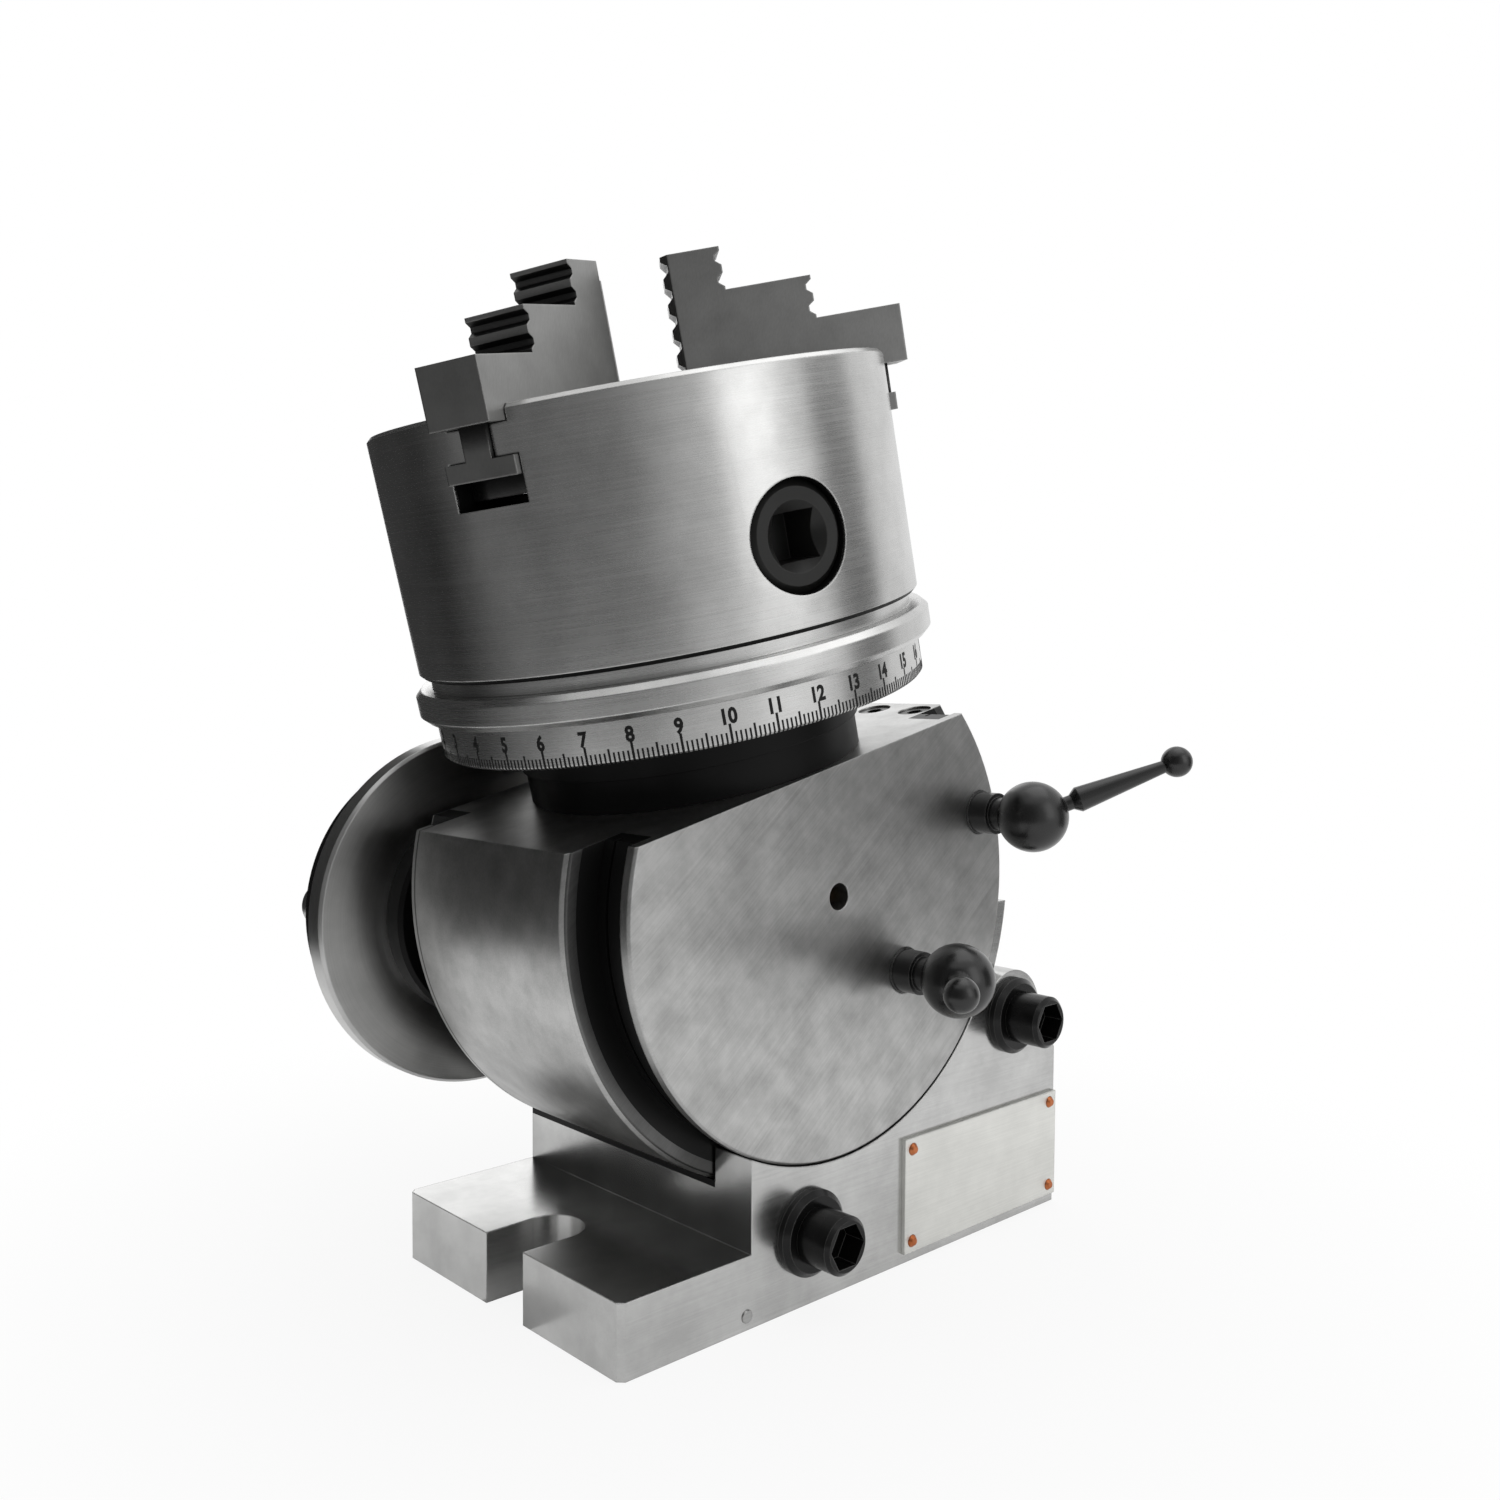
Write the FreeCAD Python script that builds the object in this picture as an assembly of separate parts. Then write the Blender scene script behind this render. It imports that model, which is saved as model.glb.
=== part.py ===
import FreeCAD
import Part
import math
import os
from FreeCAD import Rotation, Vector

# Semi-universal dividing head with a three-jaw scroll chuck. Lengths in millimetres, angles in degrees.
# World frame: X along the base, Y from the lever side to the index-plate side, Z up.
# Head frame: X square to the spindle, Y along the tilt axis, Z along the spindle, origin on the tilt axis.

# Clearances
fit_gap = 0.05
running_gap = 0.3
side_gap = 0.2

# Base
centre_height = 100.0
base_width = 91.4
foot_height = 17.7
foot_reach = 68.0
wall_reach = 29.0
block_reach = 93.0
block_drop = 54.0
slot_width = 16.0
slot_depth = 22.0
pocket_depth = 27.0
pocket_width = 34.0
pocket_height = 22.0
key_seat_length = 20.0
key_seat_depth = 4.0
left_key_seat_x = -31.0
right_key_seat_x = 52.0
ear_radius = 12.8
ear_flank = 34.0
cheek_thickness = 13.1
horn_drop = 9.0
horn_wall = 8.2
horn_setback = 4.2
foot_corner = 1.5

# Clamp screws of the tilting body, each by its angle about the tilt axis and its distance outside the saddle,
# with their washers and split cotter bushes
clamp_angles = (-96.8, -29.7)
clamp_distances = (8.4, 9.15)
clamp_screw_radius = 5.0
clamp_head_radius = 7.2
clamp_head_height = 10.1
clamp_socket_flats = 10.0
clamp_socket_depth = 6.0
clamp_reach = 40.0
washer_radius = 10.7
washer_thickness = 3.0
cotter_radius = 10.0
cotter_length = 24.0
cotter_split = 6.0

# Nameplate and plug on the front face
plate_left = 25.0
plate_bottom = 2.8
plate_length = 67.4
plate_height = 30.6
plate_thickness = 1.2
rivet_inset = 3.0
rivet_head_radius = 1.7
rivet_head_height = 0.9
rivet_shank_radius = 0.8
rivet_length = 5.0
plug_x = -30.4
plug_z = 3.4
plug_radius = 1.5
plug_length = 8.0

# Tilting body
rest_tilt = 14.0
drum_radius = 73.6
drum_front = 32.0
drum_rear = 34.0
rear_face = 43.0
drum_chamfer = 1.2
disc_radius = 65.9
disc_thickness = 3.0
band_radius = 64.2
groove_radius = 62.4
groove_width = 0.8
groove_offset = 6.5
flat_height = 32.0
tail_flat_drop = 7.6
centre_hole_radius = 3.4
flat_screw_across = 59.5
flat_screw_places = (-12.0, -27.0)
flat_screw_head = 4.5
flat_screw_radius = 2.5
flat_screw_length = 18.0
flat_screw_sink = 5.5

# Spindle and what it carries
through_bore = 9.0
journal_radius = 28.0
journal_start = 14.0
seat_radius = 20.0
rear_journal_radius = 18.0
rear_bush_wall = 5.0
rear_bush_top = -8.0
rear_bush_bottom = -40.0
tail_thread_radius = 15.0
spindle_tail = -57.0
nut_radius = 23.0
nut_thickness = 10.0
tail_cover_radius = 27.0
tail_cover_thickness = 4.0
bush_wall = 5.0
carrier_radius = 44.0
carrier_top = 40.4
dust_ring_radius = 45.0
dial_bottom = 48.7
dial_height = 10.0
dial_radius = 63.3
dial_bore = 30.0
flange_height = 7.5
flange_radius = 67.0
flange_chamfer = 1.5
step_height = 3.2
step_radius = 62.5
nose_radius = 22.0
spigot_radius = 45.0
spigot_height = 3.0

# Worm and worm wheel
wheel_module = 1.75
wheel_teeth = 40
wheel_width = 14.0
wheel_height = 0.5
wheel_pocket_gap = 1.25
worm_pitch_radius = 8.5
worm_length = 30.0
worm_run_out = 2.0
thread_turns = 7
tooth_play = 0.16
thread_play = 0.08
shaft_radius = 8.0
shaft_front_radius = 5.0
shaft_front_end = -27.0
crank_seat_radius = 6.0
shaft_end = 79.0

# Worm housing, index plate and sector arms
housing_radius = 29.5
housing_end = 50.0
housing_sleeve_radius = 14.0
housing_sleeve_length = 6.5
housing_nose_radius = 11.0
housing_nose_start = 18.0
plate_spigot_radius = 14.0
index_radius = 48.2
index_thickness = 7.0
index_circles = ((42.0, 24), (36.0, 18), (30.0, 20))
index_hole_radius = 2.0
index_hole_depth = 4.5
plate_screw_circle = 21.0
plate_screw_radius = 2.5
plate_screw_head = 4.6
plate_screw_length = 14.0
sector_thickness = 1.6
sector_ring_width = 4.5
sector_reach = 45.5
sector_width = 6.0
sector_angles = (62.0, 118.0)

# Index crank
crank_gap = 1.2
crank_radius = 43.0
crank_thickness = 8.0
crank_hub_radius = 14.0
crank_rim_width = 8.0
crank_spoke_half_angle = 38.0
crank_slot_width = 10.0
crank_slot_inner = 25.0
crank_slot_outer = 36.0
plunger_circle = 30.0
plunger_pin_radius = 1.9
plunger_travel = 6.5
plunger_knob_radius = 6.5
plunger_knob_length = 8.0
plunger_bush_head = 2.0
crank_nut_flats = 19.0
crank_nut_height = 7.0
grip_circle = 33.0
grip_radius = 8.0
grip_length = 34.0
grip_start = 1.5
grip_screw_radius = 3.5
grip_shoulder = 2.5

# Ball levers on the front face, placed in the head frame
lock_place = (58.7, 3.6)
release_place = (19.3, -27.3)
lock_rod_angle = 27.9
release_rod_angle = 170.1
lever_ball_radius = 9.4
lever_ball_offset = 17.5
lever_incline = 39.0
lever_length = 40.8
lever_knob_radius = 4.1
lever_rod_thick = 3.4
lever_rod_thin = 1.4
lever_neck_radius = 2.0
lever_stem_radius = 4.5
lever_stem_sink = 3.0
lever_collar_radius = 5.6
lever_collar_height = 6.0
lock_shaft_radius = 6.0
lock_shaft_end = 8.0
lock_throw = 0.5
lock_journal_radius = 5.0
brake_gap = 0.6
release_shaft_end = -21.0
brake_radius = 5.0

# Chuck
chuck_radius = 65.0
chuck_height = 59.3
chuck_bore = 16.0
chuck_chamfer = 1.0
hub_radius = 24.0
scroll_recess_radius = 52.0
scroll_face = 39.9
scroll_plate_thickness = 10.7
scroll_pitch = 5.0
scroll_ridge_width = 2.4
scroll_ridge_height = 3.8
slot_floor = 38.4
pinion_height = 20.9
pinion_radius = 12.9
pinion_recess = 1.6
pinion_chamfer = 2.0
pinion_inner = 40.0
pinion_square = 11.0
pinion_square_depth = 12.0
pinion_mouth_radius = 8.1
scroll_teeth = 60
pinion_teeth = 12
bevel_play = 0.36
cover_flange = 3.4
cover_screw_circle = 20.0
cover_screw_radius = 2.5
cover_screw_grip = 12.0
chuck_bolt_circle = 57.5
chuck_bolt_radius = 4.0
chuck_bolt_head = 6.3
chuck_bolt_head_height = 4.5
chuck_bolt_length = 32.0
chuck_phase = -159.5

# Jaws
jaw_inner = 14.2
jaw_inward_travel = 11.0
jaw_step_lengths = (14.5, 21.0, 20.8)
jaw_step_height = 10.2
jaw_width = 15.9
jaw_neck_width = 7.0
jaw_foot_width = 18.4
jaw_foot_setback = 4.4
jaw_tooth_thickness = 1.8
jaw_tooth_height = 4.2
jaw_foot_thickness = 4.2
jaw_neck_height = 7.2
jaw_foot_lift = 6.1
serration_depth = 1.4
step_serrations = 2
grip_serrations = 5

# Places worked out from the sizes above
half_width = base_width / 2.0
front_face = -half_width
block_height = centre_height - block_drop
horn_top = centre_height - horn_drop
tail_flat = drum_radius - tail_flat_drop
saddle_radius = drum_radius + running_gap
clamp_places = [((saddle_radius + distance) * math.cos(math.radians(angle)),
                 centre_height + (saddle_radius + distance) * math.sin(math.radians(angle)))
                for angle, distance in zip(clamp_angles, clamp_distances)]
cheek_bore = disc_radius + running_gap
cheek_back = front_face + cheek_thickness
wheel_pitch_radius = wheel_module * wheel_teeth / 2.0
wheel_tip_radius = wheel_pitch_radius + wheel_module
worm_offset = wheel_pitch_radius + worm_pitch_radius
worm_root_radius = worm_pitch_radius - 1.25 * wheel_module
worm_tip_radius = worm_pitch_radius + wheel_module
carrier_spigot_radius = wheel_tip_radius + wheel_pocket_gap
dial_top = dial_bottom + dial_height
flange_top = dial_top + flange_height
chuck_bottom = flange_top + step_height
chuck_top = chuck_bottom + chuck_height
scroll_level = chuck_bottom + scroll_face
slot_level = chuck_bottom + slot_floor
pinion_level = chuck_bottom + pinion_height
jaw_foot_level = slot_level + jaw_foot_lift
jaw_neck_level = jaw_foot_level + jaw_foot_thickness
jaw_block_level = jaw_neck_level + jaw_neck_height
pinion_face = chuck_radius - pinion_recess
scroll_underside = scroll_level - scroll_plate_thickness
bevel_inner = pinion_inner - 0.5
bevel_outer = scroll_recess_radius - running_gap
plate_face = housing_end + index_thickness
sector_level = plate_face + running_gap
crank_level = sector_level + 2 * sector_thickness + side_gap + crank_gap
crank_face = crank_level + crank_thickness
jaw_angles = [chuck_phase + 120.0 * turn for turn in range(3)]
pinion_angles = [angle + 60.0 for angle in jaw_angles]
UP = Vector(0, 0, 1)
ACROSS = Vector(0, 1, 0)
parts = {}


def cylinder_z(radius, low, high, x=0.0, y=0.0):
    return Part.makeCylinder(radius, high - low, Vector(x, y, low), UP)


def cylinder_y(radius, low, high, x=0.0, z=0.0):
    return Part.makeCylinder(radius, high - low, Vector(x, low, z), ACROSS)


def block(x_low, x_high, y_low, y_high, z_low, z_high):
    return Part.makeBox(x_high - x_low, y_high - y_low, z_high - z_low, Vector(x_low, y_low, z_low))


def turned(profile):
    """Solid of revolution about Z from (radius, height) corners."""
    corners = [Vector(radius, 0, height) for radius, height in profile]
    return Part.Face(Part.makePolygon(corners + corners[:1])).revolve(Vector(0, 0, 0), UP, 360)


def turned_about_y(profile, x=0.0, z=0.0):
    """Solid of revolution about a line along Y from (radius, y) corners."""
    solid = turned(profile)
    solid.rotate(Vector(0, 0, 0), Vector(1, 0, 0), -90)
    solid.translate(Vector(x, 0, z))
    return solid


def extruded_y(outline, y_low, y_high):
    """Prism along Y from (x, z) corners."""
    corners = [Vector(x, y_low, z) for x, z in outline]
    return Part.Face(Part.makePolygon(corners + corners[:1])).extrude(Vector(0, y_high - y_low, 0))


def about_z(shape, angle):
    copy = shape.copy()
    copy.rotate(Vector(0, 0, 0), UP, angle)
    return copy


def hexagon_y(flats, low, high, x=0.0, z=0.0):
    reach = flats / math.sqrt(3.0)
    outline = [(x + reach * math.cos(math.radians(60 * k)), z + reach * math.sin(math.radians(60 * k)))
               for k in range(6)]
    return extruded_y(outline, low, high)


def in_head(shape):
    """Carries a shape from the head frame to its resting place in the world."""
    copy = shape.copy()
    copy.rotate(Vector(0, 0, 0), ACROSS, -rest_tilt)
    copy.translate(Vector(0, 0, centre_height))
    return copy


def group(shapes):
    return Part.makeCompound(shapes)


# Base: foot with an open T-bolt slot, block with the saddle, front cheek, ears and rear horn
def make_base():
    base = block(-foot_reach, block_reach, -half_width, half_width, 0, foot_height)
    end_edges = [edge for edge in base.Edges if edge.BoundBox.ZLength > foot_height / 2
                 and abs(edge.BoundBox.XMin + foot_reach) < 0.01]
    base = base.makeChamfer(foot_corner, end_edges)
    base = base.fuse(block(-wall_reach, block_reach, -half_width, half_width, foot_height, block_height))
    ear_x, ear_z = clamp_places[1]
    corner_x = block_reach - ear_x
    corner_z = block_height - ear_z
    span = math.hypot(corner_x, corner_z)
    tangent = math.atan2(corner_z, corner_x) + math.acos(ear_radius / span)
    touch = (ear_x + ear_radius * math.cos(tangent), ear_z + ear_radius * math.sin(tangent))
    base = base.fuse(extruded_y([(ear_x, ear_z), (ear_x, block_height), (block_reach, block_height), touch],
                                -half_width, half_width))
    diagonal = ear_radius * math.sqrt(0.5)
    base = base.fuse(extruded_y([(ear_x, ear_z), (ear_x - diagonal, ear_z + diagonal),
                                 (ear_x - ear_flank, ear_z),
                                 (ear_x - ear_flank, block_height), (ear_x, block_height)],
                                -half_width, half_width))
    base = base.fuse(cylinder_y(ear_radius, -half_width, half_width, ear_x, ear_z))
    horn = cylinder_y(cheek_bore + horn_wall, front_face + horn_setback, cheek_back, 0, centre_height)
    horn = horn.common(block(0, block_reach, -half_width, half_width, block_height, horn_top))
    base = base.fuse(horn)
    base = base.cut(cylinder_y(saddle_radius, cheek_back, half_width, 0, centre_height))
    base = base.cut(cylinder_y(cheek_bore, -half_width, cheek_back, 0, centre_height))
    base = base.cut(end_slot(-foot_reach, 1))
    base = base.cut(end_slot(block_reach, -1))
    base = base.cut(block(block_reach - pocket_depth, block_reach, -pocket_width / 2, pocket_width / 2,
                          foot_height, foot_height + pocket_height))
    for seat_x in (left_key_seat_x, right_key_seat_x):
        base = base.cut(block(seat_x - key_seat_length / 2, seat_x + key_seat_length / 2,
                              -slot_width / 2, slot_width / 2, 0, key_seat_depth))
    for x, z in clamp_places:
        base = base.cut(cylinder_y(clamp_screw_radius + running_gap, -half_width, -cotter_length, x, z))
        base = base.cut(cylinder_y(cotter_radius + fit_gap, -cotter_length, cotter_length, x, z))
        base = base.cut(cylinder_y(clamp_screw_radius + fit_gap, cotter_length, clamp_reach + 1, x, z))
    base = base.cut(cylinder_y(plug_radius, front_face, front_face + plug_length, plug_x, plug_z))
    for x, z in rivet_places():
        base = base.cut(cylinder_y(rivet_shank_radius, front_face, front_face + rivet_length, x, z))
    return base.removeSplitter()


def end_slot(end_x, inward):
    """Open slot for a table bolt, from the end of the base inwards to a round end."""
    centre_x = end_x + inward * (slot_depth - slot_width / 2)
    low, high = sorted((end_x, centre_x))
    straight = block(low, high, -slot_width / 2, slot_width / 2, 0, foot_height)
    return straight.fuse(cylinder_z(slot_width / 2, 0, foot_height, centre_x))


def rivet_places():
    left = plate_left + rivet_inset
    right = plate_left + plate_length - rivet_inset
    low = plate_bottom + rivet_inset
    high = plate_bottom + plate_height - rivet_inset
    return [(left, low), (right, low), (right, high), (left, high)]


def make_nameplate():
    plate = block(plate_left, plate_left + plate_length, front_face - plate_thickness, front_face,
                  plate_bottom, plate_bottom + plate_height)
    for x, z in rivet_places():
        plate = plate.cut(cylinder_y(rivet_shank_radius, front_face - plate_thickness, front_face, x, z))
    return plate


def make_rivet(x, z):
    face = front_face - plate_thickness
    tip = rivet_head_radius * 0.55
    return turned_about_y([(0, face - rivet_head_height), (tip, face - rivet_head_height),
                           (rivet_head_radius, face), (rivet_shank_radius, face),
                           (rivet_shank_radius, front_face + rivet_length),
                           (0, front_face + rivet_length)], x, z)


def make_clamp_screw(x, z):
    seat = front_face - washer_thickness
    top = seat - clamp_head_height
    edge = 1.0
    screw = turned_about_y([(0, top), (clamp_head_radius - edge, top), (clamp_head_radius, top + edge),
                            (clamp_head_radius, seat), (clamp_screw_radius, seat),
                            (clamp_screw_radius, clamp_reach - edge), (clamp_screw_radius - edge, clamp_reach),
                            (0, clamp_reach)], x, z)
    return screw.cut(hexagon_y(clamp_socket_flats, top, top + clamp_socket_depth, x, z))


def make_clamp_washer(x, z):
    seat = front_face - washer_thickness
    bevel = washer_thickness * 0.45
    return turned_about_y([(clamp_screw_radius + side_gap, seat), (washer_radius - bevel, seat),
                           (washer_radius, seat + bevel), (washer_radius, front_face),
                           (clamp_screw_radius + side_gap, front_face)], x, z)


def make_cotters(x, z):
    """Front and rear cotter halves, hollowed where they grip the drum."""
    halves = []
    for low, high in ((-cotter_length, -cotter_split / 2), (cotter_split / 2, cotter_length)):
        half = cylinder_y(cotter_radius, low, high, x, z)
        half = half.cut(cylinder_y(clamp_screw_radius + fit_gap, low, high, x, z))
        half = half.cut(cylinder_y(saddle_radius, low, high, 0, centre_height))
        halves.append(half)
    return halves


parts["base"] = make_base()
parts["nameplate"] = make_nameplate()
parts["nameplate_rivets"] = group([make_rivet(x, z) for x, z in rivet_places()])
parts["base_plug"] = cylinder_y(plug_radius, front_face - 0.3, front_face + plug_length, plug_x, plug_z)
parts["clamp_screw_left"] = make_clamp_screw(*clamp_places[0])
parts["clamp_screw_right"] = make_clamp_screw(*clamp_places[1])
parts["clamp_washers"] = group([make_clamp_washer(x, z) for x, z in clamp_places])
parts["clamp_cotters"] = group([half for x, z in clamp_places for half in make_cotters(x, z)])


# Tilting body: drum with a flat on top, a front disc behind which a band is turned down, and its bores
def make_head_body():
    edge = drum_chamfer
    band_front = front_face + disc_thickness
    groove_front = band_front + groove_offset
    body = turned_about_y([(0, front_face), (disc_radius - edge / 2, front_face),
                           (disc_radius, front_face + edge / 2), (disc_radius, band_front),
                           (band_radius, band_front), (band_radius, groove_front),
                           (groove_radius, groove_front), (groove_radius, groove_front + groove_width),
                           (band_radius, groove_front + groove_width), (band_radius, -drum_front),
                           (drum_radius - edge, -drum_front), (drum_radius, -drum_front + edge),
                           (drum_radius, drum_rear - edge / 2), (drum_radius - edge / 2, drum_rear),
                           (band_radius, drum_rear), (band_radius, rear_face), (0, rear_face)])
    body = body.common(block(-drum_radius, drum_radius, -half_width, rear_face, -tail_flat, flat_height))
    body = body.cut(cylinder_z(carrier_spigot_radius, wheel_height - wheel_width / 2 - 1, flat_height))
    body = body.cut(cylinder_z(rear_journal_radius + rear_bush_wall, rear_bush_bottom, 0))
    body = body.cut(cylinder_z(nut_radius + 3, -tail_flat, rear_bush_bottom))
    body = body.cut(cylinder_z(tail_cover_radius + fit_gap, -tail_flat, -tail_flat + tail_cover_thickness))
    worm_z = wheel_height
    body = body.cut(cylinder_y(housing_nose_radius + fit_gap, -worm_length / 2 - 1, rear_face, -worm_offset, worm_z))
    body = body.cut(cylinder_y(shaft_front_radius + fit_gap, shaft_front_end - 1, 0, -worm_offset, worm_z))
    body = body.cut(cylinder_y(housing_sleeve_radius + fit_gap, rear_face - housing_sleeve_length, rear_face,
                               -worm_offset, worm_z))
    lock_x, lock_z = lock_place
    body = body.cut(cylinder_y(lock_shaft_radius + fit_gap, front_face, lock_shaft_end + 1, lock_x, lock_z))
    release_x, release_z = release_place
    body = body.cut(cylinder_y(lock_shaft_radius + fit_gap, front_face, release_shaft_end + 1,
                               release_x, release_z))
    brake_bore = Part.makeCylinder(brake_radius + fit_gap, lock_x, Vector(0, 0, lock_z), Vector(1, 0, 0))
    body = body.cut(brake_bore)
    body = body.cut(cylinder_y(centre_hole_radius, front_face, -carrier_spigot_radius + 1))
    for y in flat_screw_places:
        body = body.cut(cylinder_z(flat_screw_head + side_gap, flat_height - flat_screw_sink, flat_height,
                                   flat_screw_across, y))
        body = body.cut(cylinder_z(flat_screw_radius, flat_height - flat_screw_length, flat_height,
                                   flat_screw_across, y))
    return body.removeSplitter()


def make_flat_screw(y):
    seat = flat_height - flat_screw_sink
    top = flat_height - 0.5
    screw = turned([(0, top), (flat_screw_head, top), (flat_screw_head, seat), (flat_screw_radius, seat),
                    (flat_screw_radius, flat_height - flat_screw_length),
                    (0, flat_height - flat_screw_length)])
    screw = screw.cut(hexagon_prism_z(4.0, top - 2.5, top))
    screw.translate(Vector(flat_screw_across, y, 0))
    return screw


def hexagon_prism_z(flats, low, high):
    reach = flats / math.sqrt(3.0)
    corners = [Vector(reach * math.cos(math.radians(60 * k)), reach * math.sin(math.radians(60 * k)), low)
               for k in range(6)]
    return Part.Face(Part.makePolygon(corners + corners[:1])).extrude(Vector(0, 0, high - low))


def make_carrier():
    """Bearing carrier: a spigot down to the wheel pocket under a round black boss."""
    inner = journal_radius + bush_wall
    return turned([(inner, journal_start), (carrier_spigot_radius - fit_gap, journal_start),
                   (carrier_spigot_radius - fit_gap, flat_height), (carrier_radius, flat_height),
                   (carrier_radius, carrier_top), (inner, carrier_top)])


def make_dust_ring():
    top = dial_bottom - running_gap
    return turned([(journal_radius + running_gap, carrier_top), (dust_ring_radius, carrier_top),
                   (dust_ring_radius, top - 1), (dust_ring_radius - 1, top),
                   (journal_radius + running_gap, top)])


def make_front_bush():
    outer = journal_radius + bush_wall
    return turned([(journal_radius + fit_gap, journal_start), (outer, journal_start),
                   (outer, carrier_top), (journal_radius + fit_gap, carrier_top)])


def make_rear_bush():
    outer = rear_journal_radius + rear_bush_wall
    return turned([(rear_journal_radius + fit_gap, rear_bush_bottom), (outer, rear_bush_bottom),
                   (outer, rear_bush_top), (rear_journal_radius + fit_gap, rear_bush_top)])


def make_tail_cover():
    low = -tail_flat
    return turned([(through_bore, low), (tail_cover_radius, low),
                   (tail_cover_radius, low + tail_cover_thickness),
                   (through_bore, low + tail_cover_thickness)])


parts["head_body"] = in_head(make_head_body())
parts["flat_screws"] = in_head(group([make_flat_screw(y) for y in flat_screw_places]))
parts["bearing_carrier"] = in_head(make_carrier())
parts["dust_ring"] = in_head(make_dust_ring())
parts["front_bush"] = in_head(make_front_bush())
parts["rear_bush"] = in_head(make_rear_bush())
parts["tail_cover"] = in_head(make_tail_cover())


# Spindle with its lock nut, worm wheel, dial and chuck backplate
def make_spindle():
    wheel_bottom = wheel_height - wheel_width / 2
    wheel_top = wheel_height + wheel_width / 2
    nut_bottom = rear_bush_bottom - running_gap - nut_thickness
    nose_top = flange_top + step_height + spigot_height - 1
    return turned([(through_bore, spindle_tail), (tail_thread_radius, spindle_tail),
                   (tail_thread_radius, nut_bottom + nut_thickness),
                   (rear_journal_radius, nut_bottom + nut_thickness),
                   (rear_journal_radius, wheel_bottom), (seat_radius, wheel_bottom), (seat_radius, wheel_top),
                   (journal_radius, wheel_top), (journal_radius, dial_bottom), (dial_bore, dial_bottom),
                   (dial_bore, dial_top), (nose_radius, dial_top), (nose_radius, nose_top),
                   (through_bore + 3, nose_top), (through_bore, dial_bottom)])


def make_spindle_nut():
    top = rear_bush_bottom - running_gap
    low = top - nut_thickness
    nut = turned([(tail_thread_radius, low), (nut_radius, low), (nut_radius, top), (tail_thread_radius, top)])
    for turn in range(4):
        notch = block(nut_radius - 3, nut_radius + 1, -2.5, 2.5, low, low + nut_thickness / 2)
        nut = nut.cut(about_z(notch, 90 * turn))
    return nut


def make_worm_wheel():
    low = wheel_height - wheel_width / 2
    high = wheel_height + wheel_width / 2
    bevel = 1.0
    wheel = turned([(seat_radius, low), (wheel_tip_radius - bevel, low), (wheel_tip_radius, low + bevel),
                    (wheel_tip_radius, high - bevel), (wheel_tip_radius - bevel, high), (seat_radius, high)])
    pitch = math.pi * wheel_module
    root = wheel_pitch_radius - 1.25 * wheel_module
    slope = math.tan(math.radians(20.0))
    half_gap = pitch / 4 + tooth_play
    lead_angle = math.degrees(math.atan(wheel_module / (2 * worm_pitch_radius)))
    outer = wheel_tip_radius + 0.5
    half_root = half_gap - (wheel_pitch_radius - root) * slope
    half_tip = half_gap + (outer - wheel_pitch_radius) * slope
    corners = [Vector(-root, -half_root, -wheel_width), Vector(-outer, -half_tip, -wheel_width),
               Vector(-outer, half_tip, -wheel_width), Vector(-root, half_root, -wheel_width)]
    gap = Part.Face(Part.makePolygon(corners + corners[:1])).extrude(Vector(0, 0, 2 * wheel_width))
    gap.rotate(Vector(0, 0, 0), Vector(1, 0, 0), lead_angle)
    gap.translate(Vector(0, 0, wheel_height))
    gaps = [about_z(gap, 360.0 * (tooth + 0.5) / wheel_teeth) for tooth in range(wheel_teeth)]
    return wheel.cut(gaps)


def make_dial():
    edge = 0.6
    return turned([(dial_bore, dial_bottom), (dial_radius - edge, dial_bottom),
                   (dial_radius, dial_bottom + edge),
                   (dial_radius, dial_top), (dial_bore, dial_top)])


def make_backplate():
    low = dial_top
    top = flange_top + step_height
    plate = turned([(nose_radius, low), (flange_radius - flange_chamfer, low),
                    (flange_radius, low + flange_chamfer),
                    (flange_radius, flange_top - flange_chamfer), (flange_radius - flange_chamfer, flange_top),
                    (step_radius, flange_top), (step_radius, top), (spigot_radius, top),
                    (spigot_radius, top + spigot_height), (nose_radius, top + spigot_height)])
    for angle in jaw_angles:
        hole = cylinder_z(chuck_bolt_radius, low, top, chuck_bolt_circle)
        sink = cylinder_z(chuck_bolt_head + side_gap, low, low + chuck_bolt_head_height, chuck_bolt_circle)
        plate = plate.cut(about_z(hole.fuse(sink), angle))
    return plate


def make_chuck_bolt(angle):
    seat = dial_top + chuck_bolt_head_height
    bolt = cylinder_z(chuck_bolt_head, dial_top, seat, chuck_bolt_circle)
    bolt = bolt.fuse(cylinder_z(chuck_bolt_radius, seat, seat + chuck_bolt_length, chuck_bolt_circle))
    return about_z(bolt.removeSplitter(), angle)


parts["spindle"] = in_head(make_spindle())
parts["spindle_nut"] = in_head(make_spindle_nut())
parts["worm_wheel"] = in_head(make_worm_wheel())
parts["index_dial"] = in_head(make_dial())
parts["chuck_backplate"] = in_head(make_backplate())
parts["chuck_bolts"] = in_head(group([make_chuck_bolt(angle) for angle in jaw_angles]))


# Chuck: body with three jaw slots, back cover, scroll and three pinions
def make_jaw_slot():
    """Slot along +X: wide below for the jaw's foot, narrow between two tongues, open above for its block."""
    reach = chuck_radius + 5
    half = jaw_width / 2 + side_gap
    foot = jaw_foot_width / 2 + side_gap
    neck = jaw_neck_width / 2 + side_gap
    tongue_low = jaw_neck_level + side_gap
    tongue_high = jaw_block_level - side_gap
    slot = block(0, reach, -foot, foot, slot_level, tongue_low)
    slot = slot.fuse(block(0, reach, -neck, neck, tongue_low, tongue_high))
    return slot.fuse(block(0, reach, -half, half, tongue_high, chuck_top + 1))


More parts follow.
